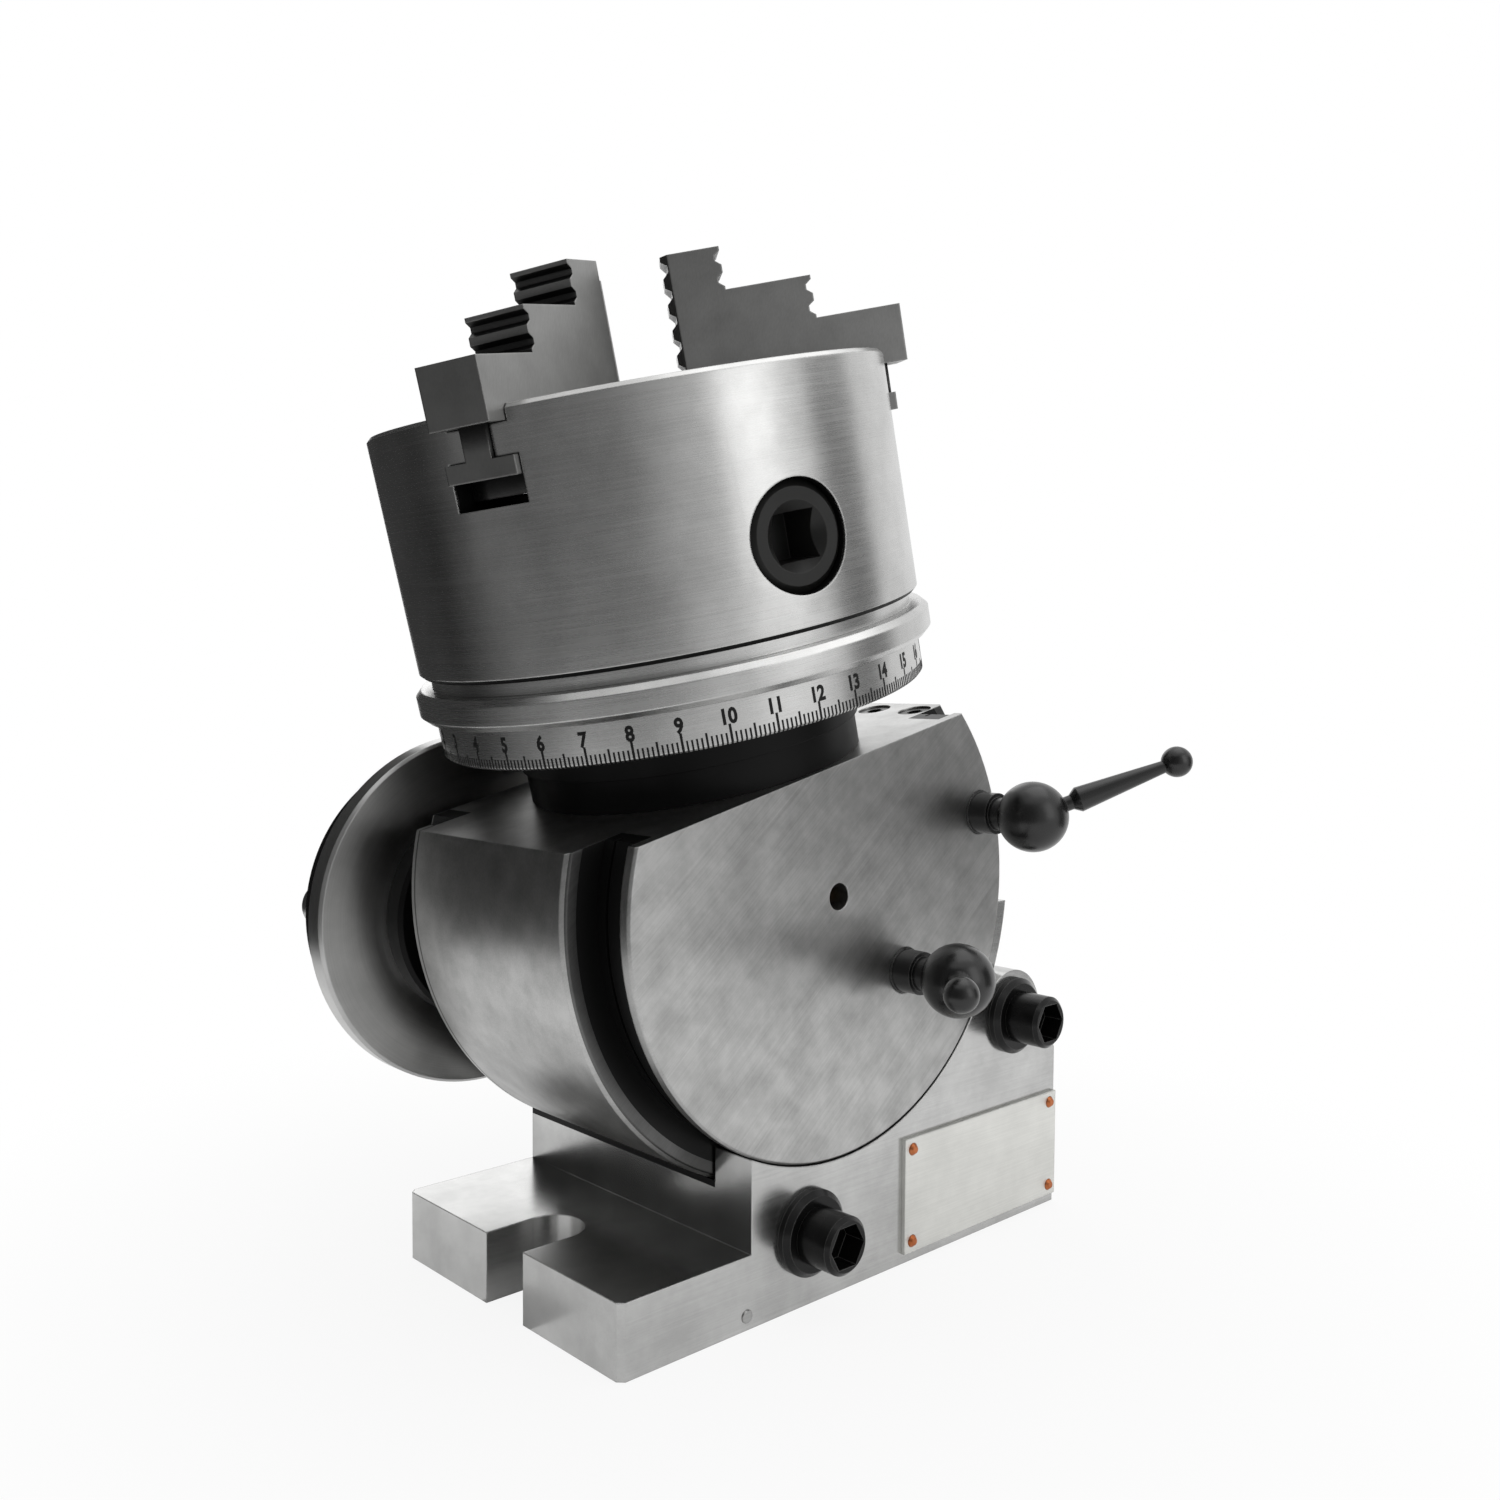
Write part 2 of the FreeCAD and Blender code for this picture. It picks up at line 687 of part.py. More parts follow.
def make_chuck_body():
    edge = chuck_chamfer
    ceiling = scroll_level + scroll_ridge_height + running_gap
    hub_end = chuck_bottom + spigot_height + side_gap + cover_flange
    body = turned([(scroll_recess_radius, chuck_bottom), (chuck_radius - edge, chuck_bottom),
                   (chuck_radius, chuck_bottom + edge), (chuck_radius, chuck_top - edge),
                   (chuck_radius - edge, chuck_top), (chuck_bore, chuck_top), (chuck_bore, hub_end),
                   (hub_radius, hub_end), (hub_radius, ceiling), (scroll_recess_radius, ceiling)])
    for angle in jaw_angles:
        body = body.cut(about_z(make_jaw_slot(), angle))
        body = body.cut(about_z(cylinder_z(chuck_bolt_radius, chuck_bottom, chuck_bottom + chuck_bolt_length,
                                           chuck_bolt_circle), angle))
    for angle in pinion_angles:
        bore = Part.makeCylinder(pinion_radius + fit_gap, chuck_radius, Vector(hub_radius + 2, 0, pinion_level),
                                 Vector(1, 0, 0))
        body = body.cut(about_z(bore, angle))
        screw_hole = cylinder_z(cover_screw_radius, hub_end, hub_end + cover_screw_grip, cover_screw_circle)
        body = body.cut(about_z(screw_hole, angle))
    return body


def make_chuck_cover():
    low = chuck_bottom + spigot_height + side_gap
    top = scroll_underside - running_gap
    outer = scroll_recess_radius - fit_gap
    step = bevel_inner - 1.0
    clear = pinion_level + bevel_height(bevel_inner, -1.0) - running_gap
    cover = turned([(chuck_bore, low), (spigot_radius + fit_gap, low), (spigot_radius + fit_gap, chuck_bottom),
                    (outer, chuck_bottom), (outer, clear), (step, clear), (step, top),
                    (hub_radius + fit_gap, top),
                    (hub_radius + fit_gap, low + cover_flange), (chuck_bore, low + cover_flange)])
    for angle in pinion_angles:
        bore = Part.makeCylinder(pinion_radius + fit_gap, chuck_radius, Vector(pinion_inner - 1, 0, pinion_level),
                                 Vector(1, 0, 0))
        cover = cover.cut(about_z(bore, angle))
        hole = cylinder_z(cover_screw_radius, low, low + cover_flange, cover_screw_circle)
        cover = cover.cut(about_z(hole, angle))
    return cover


def make_cover_screw(angle):
    low = chuck_bottom + spigot_height + side_gap
    screw = cylinder_z(cover_screw_radius, low, low + cover_flange + cover_screw_grip, cover_screw_circle)
    return about_z(screw, angle)


def bevel_height(radius, depth):
    """Height of the crown teeth over the pinions' axis: depth 0 on the pitch cone, -1 at tips, 1.25 at roots."""
    return radius * (pinion_teeth + 2.0 * depth) / scroll_teeth


def bevel_gap(mesh):
    """Tooth gap along +X, tapering to the chuck's axis: mesh 1 opens it down for the scroll, -1 upwards."""
    ends = []
    slope = math.tan(math.radians(20.0))
    for reach in (bevel_inner - 2.0, bevel_outer + 1.0):
        module = 2.0 * reach / scroll_teeth
        half_gap = math.pi * module / 4 + bevel_play
        corners = []
        for depth, side in ((1.25, -1), (-1.3, -1), (-1.3, 1), (1.25, 1)):
            half = half_gap - depth * module * slope
            height = bevel_height(reach, depth * mesh)
            corners.append(Vector(reach, side * half, height))
        ends.append(Part.makePolygon(corners + corners[:1]))
    return Part.makeLoft(ends, True, True)


def spiral_ridge():
    """Plan of the scroll's ridge: a spiral whose radius falls evenly by one pitch a turn."""
    turns = (scroll_recess_radius - hub_radius) / scroll_pitch + 1.0
    steps = int(turns * 24)
    sides = []
    edges = []
    for offset in (-scroll_ridge_width / 2, scroll_ridge_width / 2):
        points = []
        for step in range(steps + 1):
            turn = turns * step / steps
            reach = scroll_recess_radius + scroll_pitch / 2 - turn * scroll_pitch + offset
            points.append(Vector(reach * math.cos(2 * math.pi * turn), reach * math.sin(2 * math.pi * turn), 0))
        curve = Part.BSplineCurve()
        curve.interpolate(points)
        sides.append(points)
        edges.append(curve.toShape())
    for end in (0, -1):
        edges.append(Part.makeLine(sides[0][end], sides[1][end]))
    return Part.Face(Part.Wire(Part.__sortEdges__(edges)))


def make_scroll():
    """Disc with a spiral ridge on top for the jaws and bevel teeth below for the pinions."""
    inner = hub_radius + fit_gap
    tip_low = pinion_level + bevel_height(bevel_inner, -1.0)
    tip_high = pinion_level + bevel_height(bevel_outer, -1.0)
    scroll = turned([(inner, scroll_underside), (bevel_inner, scroll_underside), (bevel_inner, tip_low),
                     (bevel_outer, tip_high), (bevel_outer, scroll_level), (inner, scroll_level)])
    gap = bevel_gap(1)
    gap.translate(Vector(0, 0, pinion_level))
    first = pinion_angles[0]
    scroll = scroll.cut([about_z(gap, first + 360.0 * tooth / scroll_teeth) for tooth in range(scroll_teeth)])
    ridge_solid = spiral_ridge().extrude(Vector(0, 0, scroll_ridge_height + 1))
    ridge_solid.translate(Vector(0, 0, scroll_level - 1))
    ring = cylinder_z(bevel_outer, scroll_level - 1, scroll_level + scroll_ridge_height)
    ring = ring.cut(cylinder_z(inner, scroll_level - 1, scroll_level + scroll_ridge_height))
    return scroll.fuse(ridge_solid.common(ring))


def make_pinion(angle):
    """Bevel pinion lying along the chuck's radius, with a countersunk square key socket in its outer end."""
    top = pinion_face
    shank_start = bevel_outer + running_gap
    tip_inner = bevel_height(pinion_inner, 1.0)
    tip_outer = bevel_height(bevel_outer, 1.0)
    profile = turned([(0, pinion_inner), (tip_inner, pinion_inner), (tip_outer, bevel_outer),
                      (tip_outer, shank_start), (pinion_radius, shank_start),
                      (pinion_radius, top - pinion_chamfer), (pinion_radius - pinion_chamfer, top), (0, top)])
    profile.rotate(Vector(0, 0, 0), ACROSS, 90)
    gap = bevel_gap(-1)
    gap = gap.common(block(0, shank_start, -pinion_radius, pinion_radius, 0, 2 * pinion_radius))
    gaps = []
    for tooth in range(pinion_teeth):
        turned_gap = gap.copy()
        turned_gap.rotate(Vector(0, 0, 0), Vector(1, 0, 0), 360.0 * (tooth + 0.5) / pinion_teeth)
        gaps.append(turned_gap)
    pinion = profile.cut(gaps)
    half = pinion_square / 2
    pinion = pinion.cut(block(top - pinion_square_depth, top + 1, -half, half, -half, half))
    mouth = Part.makeCone(half, pinion_mouth_radius, pinion_mouth_radius - half,
                          Vector(top - pinion_mouth_radius + half, 0, 0), Vector(1, 0, 0))
    pinion = pinion.cut(mouth)
    pinion.translate(Vector(0, 0, pinion_level))
    return about_z(pinion, angle)


def make_jaw(angle):
    """Stepped jaw: grooved step faces, a neck and foot that run in the slot, rack teeth for the scroll."""
    half = jaw_width / 2
    outline = [(jaw_inner, jaw_block_level)]
    top = chuck_top + 3 * jaw_step_height
    outline += serrated(jaw_inner, chuck_top + side_gap, top, grip_serrations, 1)
    reach = jaw_inner
    for step, length in enumerate(jaw_step_lengths):
        reach += length
        upper = top - step * jaw_step_height
        lower = upper - jaw_step_height
        if step < 2:
            outline += serrated(reach, lower, upper, step_serrations, -1)[::-1]
        else:
            outline += [(reach, upper), (reach, jaw_block_level)]
    corners = [Vector(r, -half, z) for r, z in outline]
    jaw = Part.Face(Part.makePolygon(corners + corners[:1])).extrude(Vector(0, 2 * half, 0))
    neck = jaw_neck_width / 2
    foot = jaw_foot_width / 2
    foot_end = reach - jaw_foot_setback
    jaw = jaw.fuse(block(jaw_inner, foot_end, -neck, neck, jaw_neck_level, jaw_block_level))
    jaw = jaw.fuse(block(jaw_inner, foot_end, -foot, foot, jaw_foot_level, jaw_neck_level))
    first = (scroll_pitch * -angle / 360.0) % scroll_pitch
    count = int((foot_end - jaw_inner) / scroll_pitch) + 2
    start = scroll_recess_radius % scroll_pitch + first
    for tooth in range(count):
        centre = start + tooth * scroll_pitch
        if jaw_inner + jaw_tooth_thickness < centre < foot_end - jaw_tooth_thickness:
            jaw = jaw.fuse(rack_tooth(centre))
    apex = jaw_inward_travel + running_gap
    nose = extruded_wedge(apex, 2 * reach, jaw_foot_level - jaw_tooth_height - 1, top + 1)
    jaw = jaw.common(nose)
    return about_z(jaw.removeSplitter(), angle)


def rack_tooth(centre):
    """Lens-shaped tooth under a jaw: its outer face curves like the scroll's smallest turn, its inner face like
    the largest, so that it clears the spiral everywhere."""
    foot = jaw_foot_width / 2
    outer_face = centre + jaw_tooth_thickness / 2
    inner_face = centre - jaw_tooth_thickness / 2
    low = jaw_foot_level - jaw_tooth_height
    outer_disc = cylinder_z(hub_radius, low, jaw_foot_level, outer_face - hub_radius)
    inner_disc = cylinder_z(scroll_recess_radius, low, jaw_foot_level, inner_face - scroll_recess_radius)
    strip = block(outer_face - hub_radius, outer_face, -foot, foot, low, jaw_foot_level)
    return strip.common(outer_disc).cut(inner_disc)


def extruded_wedge(apex, reach, low, high):
    """Third of a circle's area about Z, opening along +X from the apex."""
    half = (reach - apex) * math.tan(math.radians(60.0))
    corners = [Vector(apex, 0, low), Vector(reach, -half, low), Vector(reach, half, low)]
    return Part.Face(Part.makePolygon(corners + corners[:1])).extrude(Vector(0, 0, high - low))


def serrated(reach, low, high, count, inward):
    """Corners up a toothed face: flat tips on the face, grooves cut back from it."""
    pitch = (high - low) / count
    points = [(reach, low)]
    for tooth in range(count):
        start = low + tooth * pitch
        points.append((reach, start + 0.15 * pitch))
        points.append((reach + inward * serration_depth, start + 0.35 * pitch))
        points.append((reach + inward * serration_depth, start + 0.6 * pitch))
        points.append((reach, start + 0.8 * pitch))
    points.append((reach, high))
    return points


parts["chuck_body"] = in_head(make_chuck_body())
parts["chuck_cover"] = in_head(make_chuck_cover())
parts["chuck_cover_screws"] = in_head(group([make_cover_screw(angle) for angle in pinion_angles]))
parts["scroll"] = in_head(make_scroll())
for number, angle in enumerate(jaw_angles, 1):
    parts["jaw_%d" % number] = in_head(make_jaw(angle))
for number, angle in enumerate(pinion_angles, 1):
    parts["chuck_pinion_%d" % number] = in_head(make_pinion(angle))


# Worm shaft, its housing, the index plate and the sector arms, all about one axis along Y
def make_worm_shaft():
    """Shaft with the single-start right-hand worm, one of whose grooves faces the wheel's middle tooth."""
    half = worm_length / 2
    edge = 1.0
    shaft = turned_about_y([(0, shaft_front_end), (shaft_front_radius, shaft_front_end),
                            (shaft_front_radius, -half), (worm_root_radius, -half), (worm_root_radius, half),
                            (shaft_radius, half + worm_run_out), (shaft_radius, crank_level - running_gap),
                            (crank_seat_radius, crank_level - running_gap),
                            (crank_seat_radius, shaft_end - edge), (crank_seat_radius - edge, shaft_end),
                            (0, shaft_end)], -worm_offset, wheel_height)
    lead = math.pi * wheel_module
    slope = math.tan(math.radians(20.0))
    base_radius = worm_root_radius - 0.4
    half_tooth = lead / 4 - thread_play
    thread = ridge(base_radius, worm_tip_radius, half_tooth + (worm_pitch_radius - base_radius) * slope,
                   half_tooth - (worm_tip_radius - worm_pitch_radius) * slope, lead, thread_turns)
    thread.translate(Vector(0, 0, -thread_turns * lead / 2))
    thread = thread.common(cylinder_z(worm_tip_radius + 1, -half, half))
    thread.rotate(Vector(0, 0, 0), Vector(1, 0, 0), -90)
    thread.translate(Vector(-worm_offset, 0, wheel_height))
    return shaft.fuse(thread)


def ridge(radius_low, radius_high, half_low, half_high, pitch, turns):
    """Right-hand helical ridge about Z, of trapezium section, half a pitch off the origin at angle zero."""
    helix = Part.makeHelix(pitch, turns * pitch, radius_high)
    section = [Vector(radius_low, 0, -half_low), Vector(radius_high, 0, -half_high),
               Vector(radius_high, 0, half_high), Vector(radius_low, 0, half_low)]
    sweep = Part.BRepOffsetAPI.MakePipeShell(Part.Wire(helix.Edges))
    sweep.setBiNormalMode(UP)
    sweep.add(Part.makePolygon(section + section[:1]))
    sweep.build()
    sweep.makeSolid()
    return sweep.shape()


def make_worm_housing():
    bore = shaft_radius + fit_gap
    sleeve_start = rear_face - housing_sleeve_length
    spigot_end = crank_level - crank_gap + side_gap
    return turned_about_y([(bore, housing_nose_start), (housing_nose_radius, housing_nose_start),
                           (housing_nose_radius, sleeve_start), (housing_sleeve_radius, sleeve_start),
                           (housing_sleeve_radius, rear_face), (housing_radius - 1, rear_face),
                           (housing_radius, rear_face + 1), (housing_radius, housing_end),
                           (plate_spigot_radius, housing_end), (plate_spigot_radius, spigot_end),
                           (bore, spigot_end)], -worm_offset, wheel_height)


def on_index_face(radius, angle):
    """Place on the index plate at an angle from the plunger's own direction, level in the world."""
    turn = math.radians(180.0 - rest_tilt + angle)
    return -worm_offset + radius * math.cos(turn), wheel_height + radius * math.sin(turn)


def make_index_plate():
    edge = 0.8
    plate = turned_about_y([(plate_spigot_radius + fit_gap, housing_end), (index_radius - edge, housing_end),
                            (index_radius, housing_end + edge), (index_radius, plate_face - edge),
                            (index_radius - edge, plate_face), (plate_spigot_radius + fit_gap, plate_face)],
                           -worm_offset, wheel_height)
    holes = []
    for radius, count in index_circles:
        for hole in range(count):
            x, z = on_index_face(radius, 360.0 * hole / count)
            holes.append(cylinder_y(index_hole_radius, plate_face - index_hole_depth, plate_face, x, z))
    for turn in range(3):
        x, z = on_index_face(plate_screw_circle, 60 + 120 * turn)
        holes.append(plate_screw_shape(x, z, 0.0))
    return plate.cut(holes)


def plate_screw_shape(x, z, depth):
    """Countersunk screw through the index plate, as deep as the plate plus its grip in the housing."""
    cone = plate_screw_head - plate_screw_radius
    return turned_about_y([(0, housing_end - depth), (plate_screw_radius, housing_end - depth),
                           (plate_screw_radius, plate_face - cone), (plate_screw_head, plate_face),
                           (0, plate_face)], x, z)


def make_plate_screws():
    screws = []
    for turn in range(3):
        x, z = on_index_face(plate_screw_circle, 60 + 120 * turn)
        slot = block(x - plate_screw_head, x + plate_screw_head, plate_face - 1.0, plate_face, z - 0.5, z + 0.5)
        screws.append(plate_screw_shape(x, z, plate_screw_length - index_thickness).cut(slot))
    return screws


def make_sector_arm(number):
    """Ring round the housing's spigot with one straight bevelled arm."""
    low = sector_level + number * (sector_thickness + side_gap)
    high = low + sector_thickness
    inner = plate_spigot_radius + side_gap
    ring = turned_about_y([(inner, low), (inner + sector_ring_width, low), (inner + sector_ring_width, high),
                           (inner, high)])
    arm = extruded_y([(inner + 1, -sector_width / 2), (sector_reach, -sector_width / 4),
                      (sector_reach, sector_width / 4), (inner + 1, sector_width / 2)], low, high)
    shape = ring.fuse(arm).removeSplitter()
    shape.rotate(Vector(0, 0, 0), ACROSS, -(180.0 - rest_tilt + sector_angles[number]))
    shape.translate(Vector(-worm_offset, 0, wheel_height))
    return shape


housing = make_worm_housing()
plate_screws = make_plate_screws()
parts["worm_shaft"] = in_head(make_worm_shaft())
parts["worm_housing"] = in_head(housing.cut(plate_screws))
parts["index_plate"] = in_head(make_index_plate())
parts["index_plate_screws"] = in_head(group(plate_screws))
parts["sector_arm_near"] = in_head(make_sector_arm(0))
parts["sector_arm_far"] = in_head(make_sector_arm(1))


# Index crank: open disc on the worm shaft with a plunger in a radial slot and a turning grip
def make_crank_disc():
    spoke = crank_spoke_half_angle
    disc = turned_about_y([(crank_seat_radius, crank_level), (crank_radius - 1, crank_level),
                           (crank_radius, crank_level + 1), (crank_radius, crank_face - 1),
                           (crank_radius - 1, crank_face), (crank_seat_radius, crank_face)])
    rim_inner = crank_radius - crank_rim_width
    window_ring = turned_about_y([(crank_hub_radius, crank_level - 1), (rim_inner, crank_level - 1),
                                  (rim_inner, crank_face + 1), (crank_hub_radius, crank_face + 1)])
    far = 2 * crank_radius
    for side in (1, -1):
        slope = math.tan(math.radians(spoke))
        wedge = extruded_y([(0, 0), (-far / slope, side * far), (far / slope, side * far)],
                           crank_level - 1, crank_face + 1)
        disc = disc.cut(window_ring.common(wedge))
    half = crank_slot_width / 2
    disc = disc.cut(block(-crank_slot_outer, -crank_slot_inner, crank_level, crank_face, -half, half))
    for radius in (crank_slot_inner, crank_slot_outer):
        disc = disc.cut(cylinder_y(half, crank_level, crank_face, -radius, 0))
    disc = disc.cut(cylinder_y(grip_screw_radius, crank_level, crank_face, grip_circle, 0))
    return disc


def on_crank(shape):
    """Turns a shape about the worm's axis so that the plunger side points level away from the body."""
    copy = shape.copy()
    copy.rotate(Vector(0, 0, 0), ACROSS, rest_tilt)
    copy.translate(Vector(-worm_offset, 0, wheel_height))
    return copy


def make_plunger_bush():
    shank = crank_slot_width / 2 - fit_gap
    bore = plunger_pin_radius + fit_gap
    return turned_about_y([(bore, crank_level), (shank, crank_level), (shank, crank_face),
                           (shank + 2.5, crank_face), (shank + 2.5, crank_face + plunger_bush_head),
                           (bore, crank_face + plunger_bush_head)], -plunger_circle, 0)


def make_plunger():
    """Plunger drawn back: its pin clears the sector arms and its knob stands off by the travel."""
    knob_start = crank_face + plunger_bush_head + plunger_travel + side_gap
    knob_end = knob_start + plunger_knob_length
    return turned_about_y([(0, crank_level - 0.5), (plunger_pin_radius, crank_level - 0.5),
                           (plunger_pin_radius, knob_start), (plunger_knob_radius - 1, knob_start),
                           (plunger_knob_radius, knob_start + 1), (plunger_knob_radius, knob_end - 1.5),
                           (plunger_knob_radius - 1.5, knob_end), (0, knob_end)], -plunger_circle, 0)


def make_crank_nut():
    nut = hexagon_y(crank_nut_flats, crank_face, crank_face + crank_nut_height)
    return nut.cut(cylinder_y(crank_seat_radius, crank_face, crank_face + crank_nut_height))


def make_grip_screw():
    end = crank_face + grip_start + grip_length + side_gap
    shoulder = grip_screw_radius + grip_shoulder
    return turned_about_y([(0, crank_level), (grip_screw_radius, crank_level), (grip_screw_radius, crank_face),
                           (shoulder, crank_face), (shoulder, crank_face + grip_start - running_gap),
                           (grip_screw_radius, crank_face + grip_start - running_gap),
                           (grip_screw_radius, end),
                           (shoulder, end), (shoulder, end + 2), (0, end + 2)], grip_circle, 0)


def make_grip():
    """Barrel grip, thickest past the middle of its length."""
    low = crank_face + grip_start
    bore = grip_screw_radius + fit_gap
    barrel = [(bore, low)]
    for share, swell in ((0, 0.7), (0.09, 0.78), (0.22, 0.86), (0.41, 0.95), (0.62, 1.0), (0.8, 0.965),
                         (0.93, 0.89), (1, 0.75)):
        barrel.append((swell * grip_radius, low + share * grip_length))
    return turned_about_y(barrel + [(bore, low + grip_length)], grip_circle, 0)


parts["crank_disc"] = in_head(on_crank(make_crank_disc()))
parts["crank_nut"] = in_head(on_crank(make_crank_nut()))
parts["plunger_bush"] = in_head(on_crank(make_plunger_bush()))
parts["index_plunger"] = in_head(on_crank(make_plunger()))
parts["crank_grip_screw"] = in_head(on_crank(make_grip_screw()))
parts["crank_grip"] = in_head(on_crank(make_grip()))


# Ball levers of the spindle lock and the worm release, with their shafts and the brake shoe
def make_ball_lever(place, rod_angle):
    """Hub ball, waisted neck, tapering rod and end ball, all turned about the rod's own line."""
    ball = Part.makeSphere(lever_ball_radius)
    cone_start = lever_ball_radius + 2.5
    rod = turned([(0, 0), (lever_neck_radius, 0), (lever_neck_radius, cone_start - 1),
                  (lever_rod_thick, cone_start + 1), (lever_rod_thin, lever_length), (0, lever_length)])
    knob = Part.makeSphere(lever_knob_radius, Vector(0, 0, lever_length))
    lever = ball.fuse(rod).fuse(knob).removeSplitter()
    lean = math.radians(lever_incline)
    turn = math.radians(rod_angle + rest_tilt * -1)
    direction = Vector(math.cos(lean) * math.cos(turn), -math.sin(lean), math.cos(lean) * math.sin(turn))
    lever.Placement = FreeCAD.Placement(Vector(place[0], front_face - lever_ball_offset, place[1]),
                                        Rotation(UP, direction))
    stem_end = front_face - lever_ball_offset - lever_stem_sink
    stem = cylinder_y(lever_stem_radius, stem_end, front_face, place[0], place[1])
    return lever.cut(stem)


def make_lever_shaft(place, end, eccentric):
    ball_line = front_face - lever_ball_offset - lever_stem_sink
    collar = front_face - lever_collar_height
    shaft = turned_about_y([(0, ball_line), (lever_stem_radius, ball_line), (lever_stem_radius, collar),
                            (lever_collar_radius, collar), (lever_collar_radius, front_face - side_gap),
                            (lock_shaft_radius, front_face - side_gap), (lock_shaft_radius, end), (0, end)],
                           place[0], place[1])
    if eccentric:
        span = brake_radius + 1
        shaft = shaft.cut(cylinder_y(2 * lock_shaft_radius, -span, span, place[0], place[1]))
        journal = cylinder_y(lock_journal_radius, -span, span, place[0], place[1] + lock_throw)
        shaft = shaft.fuse(journal).removeSplitter()
    return shaft


def make_brake_shoe():
    low = wheel_tip_radius + brake_gap
    high = lock_place[0] - lock_journal_radius - running_gap
    shoe = Part.makeCylinder(brake_radius, high - low + 2, Vector(low - 2, 0, lock_place[1]), Vector(1, 0, 0))
    return shoe.cut(cylinder_z(low, -drum_radius, drum_radius))


parts["lock_lever"] = in_head(make_ball_lever(lock_place, lock_rod_angle))
parts["lock_shaft"] = in_head(make_lever_shaft(lock_place, lock_shaft_end, True))
parts["brake_shoe"] = in_head(make_brake_shoe())
parts["release_lever"] = in_head(make_ball_lever(release_place, release_rod_angle))
parts["release_shaft"] = in_head(make_lever_shaft(release_place, release_shaft_end, False))

os.makedirs("parts", exist_ok=True)
for node, shape in parts.items():
    shape.exportStep("parts/%s.step" % node)
    print(node, len(shape.Solids), shape.isValid(), round(shape.Volume))
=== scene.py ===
import math
import bpy
import numpy as np
from mathutils import Matrix, Vector


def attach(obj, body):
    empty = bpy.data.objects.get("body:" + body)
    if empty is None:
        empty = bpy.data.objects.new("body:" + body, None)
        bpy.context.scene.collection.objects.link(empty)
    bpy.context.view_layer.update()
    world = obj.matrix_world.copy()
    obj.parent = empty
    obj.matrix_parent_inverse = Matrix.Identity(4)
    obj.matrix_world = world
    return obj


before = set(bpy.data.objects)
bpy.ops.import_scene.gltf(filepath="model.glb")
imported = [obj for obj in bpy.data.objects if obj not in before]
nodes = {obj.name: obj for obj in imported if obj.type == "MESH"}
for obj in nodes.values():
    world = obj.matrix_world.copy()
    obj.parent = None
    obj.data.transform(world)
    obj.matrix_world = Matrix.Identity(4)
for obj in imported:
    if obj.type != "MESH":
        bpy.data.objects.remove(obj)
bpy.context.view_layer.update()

# View. The camera stands at the lever side, low and to the left, as the picture was taken, with a lens that
# gives the picture's field over a square frame.
eye = Vector((-0.24736, -0.27869, 0.15264))
yaw, pitch, roll = (math.radians(turn) for turn in (42.96, -2.76, 0.31))
focal_pixels = 1377.3
frame_pixels = 1500
forward = Vector((math.sin(yaw) * math.cos(pitch), math.cos(yaw) * math.cos(pitch), math.sin(pitch)))
level = Vector((math.cos(yaw), -math.sin(yaw), 0.0))
upright = level.cross(forward)
right = level * math.cos(roll) + upright * math.sin(roll)
up = upright * math.cos(roll) - level * math.sin(roll)
lens = bpy.data.cameras.new("view")
lens.sensor_width = 36.0
lens.lens = focal_pixels / frame_pixels * lens.sensor_width
lens.clip_start, lens.clip_end = 0.01, 50.0
camera = bpy.data.objects.new("view", lens)
camera.matrix_world = Matrix.Translation(eye) @ Matrix((right, up, -forward)).transposed().to_4x4()
bpy.context.scene.collection.objects.link(camera)
bpy.context.scene.camera = camera
bpy.context.scene.view_settings.view_transform = "Standard"


# Floor. A pale photographer's sweep: it takes the object's shadow close by and runs out to plain white,
# for the eye and for anything that mirrors it.
def linear(code):
    """The colour of an sRGB hex value in linear light, as red, green, blue and one."""
    shades = np.array([int(code[place:place + 2], 16) for place in (1, 3, 5)]) / 255.0
    light = np.where(shades <= 0.04045, shades / 12.92, ((shades + 0.055) / 1.055) ** 2.4)
    return (*light.tolist(), 1.0)


def put(tree, kind, inputs=None, **settings):
    """Adds a shader node, sets its own settings, and fills its inputs with values or links."""
    node = tree.nodes.new(kind)
    for name, value in settings.items():
        setattr(node, name, value)
    for name, value in (inputs or {}).items():
        if isinstance(value, bpy.types.NodeSocket):
            tree.links.new(value, node.inputs[name])
        else:
            node.inputs[name].default_value = value
    return node


def seen_directly(tree, straight_share=1.0, mirrored_share=1.0):
    """One share where a ray comes straight from the camera, another where it comes by way of a mirror or glass
    surface, else zero."""
    path = put(tree, "ShaderNodeLightPath")
    mirrored = put(tree, "ShaderNodeMath", {0: path.outputs["Is Glossy Ray"],
                                            1: path.outputs["Is Transmission Ray"]}, operation="MAXIMUM")
    mirrored = put(tree, "ShaderNodeMath", {0: mirrored.outputs[0], 1: mirrored_share}, operation="MULTIPLY")
    straight = put(tree, "ShaderNodeMath", {0: path.outputs["Is Camera Ray"], 1: straight_share},
                   operation="MULTIPLY")
    return put(tree, "ShaderNodeMath", {0: straight.outputs[0], 1: mirrored.outputs[0]},
               operation="MAXIMUM").outputs[0]


def empty_coat(name):
    """A material with nothing in its node tree, and the tree."""
    coat = bpy.data.materials.new(name)
    coat.use_nodes = True
    coat.node_tree.nodes.clear()
    return coat, coat.node_tree


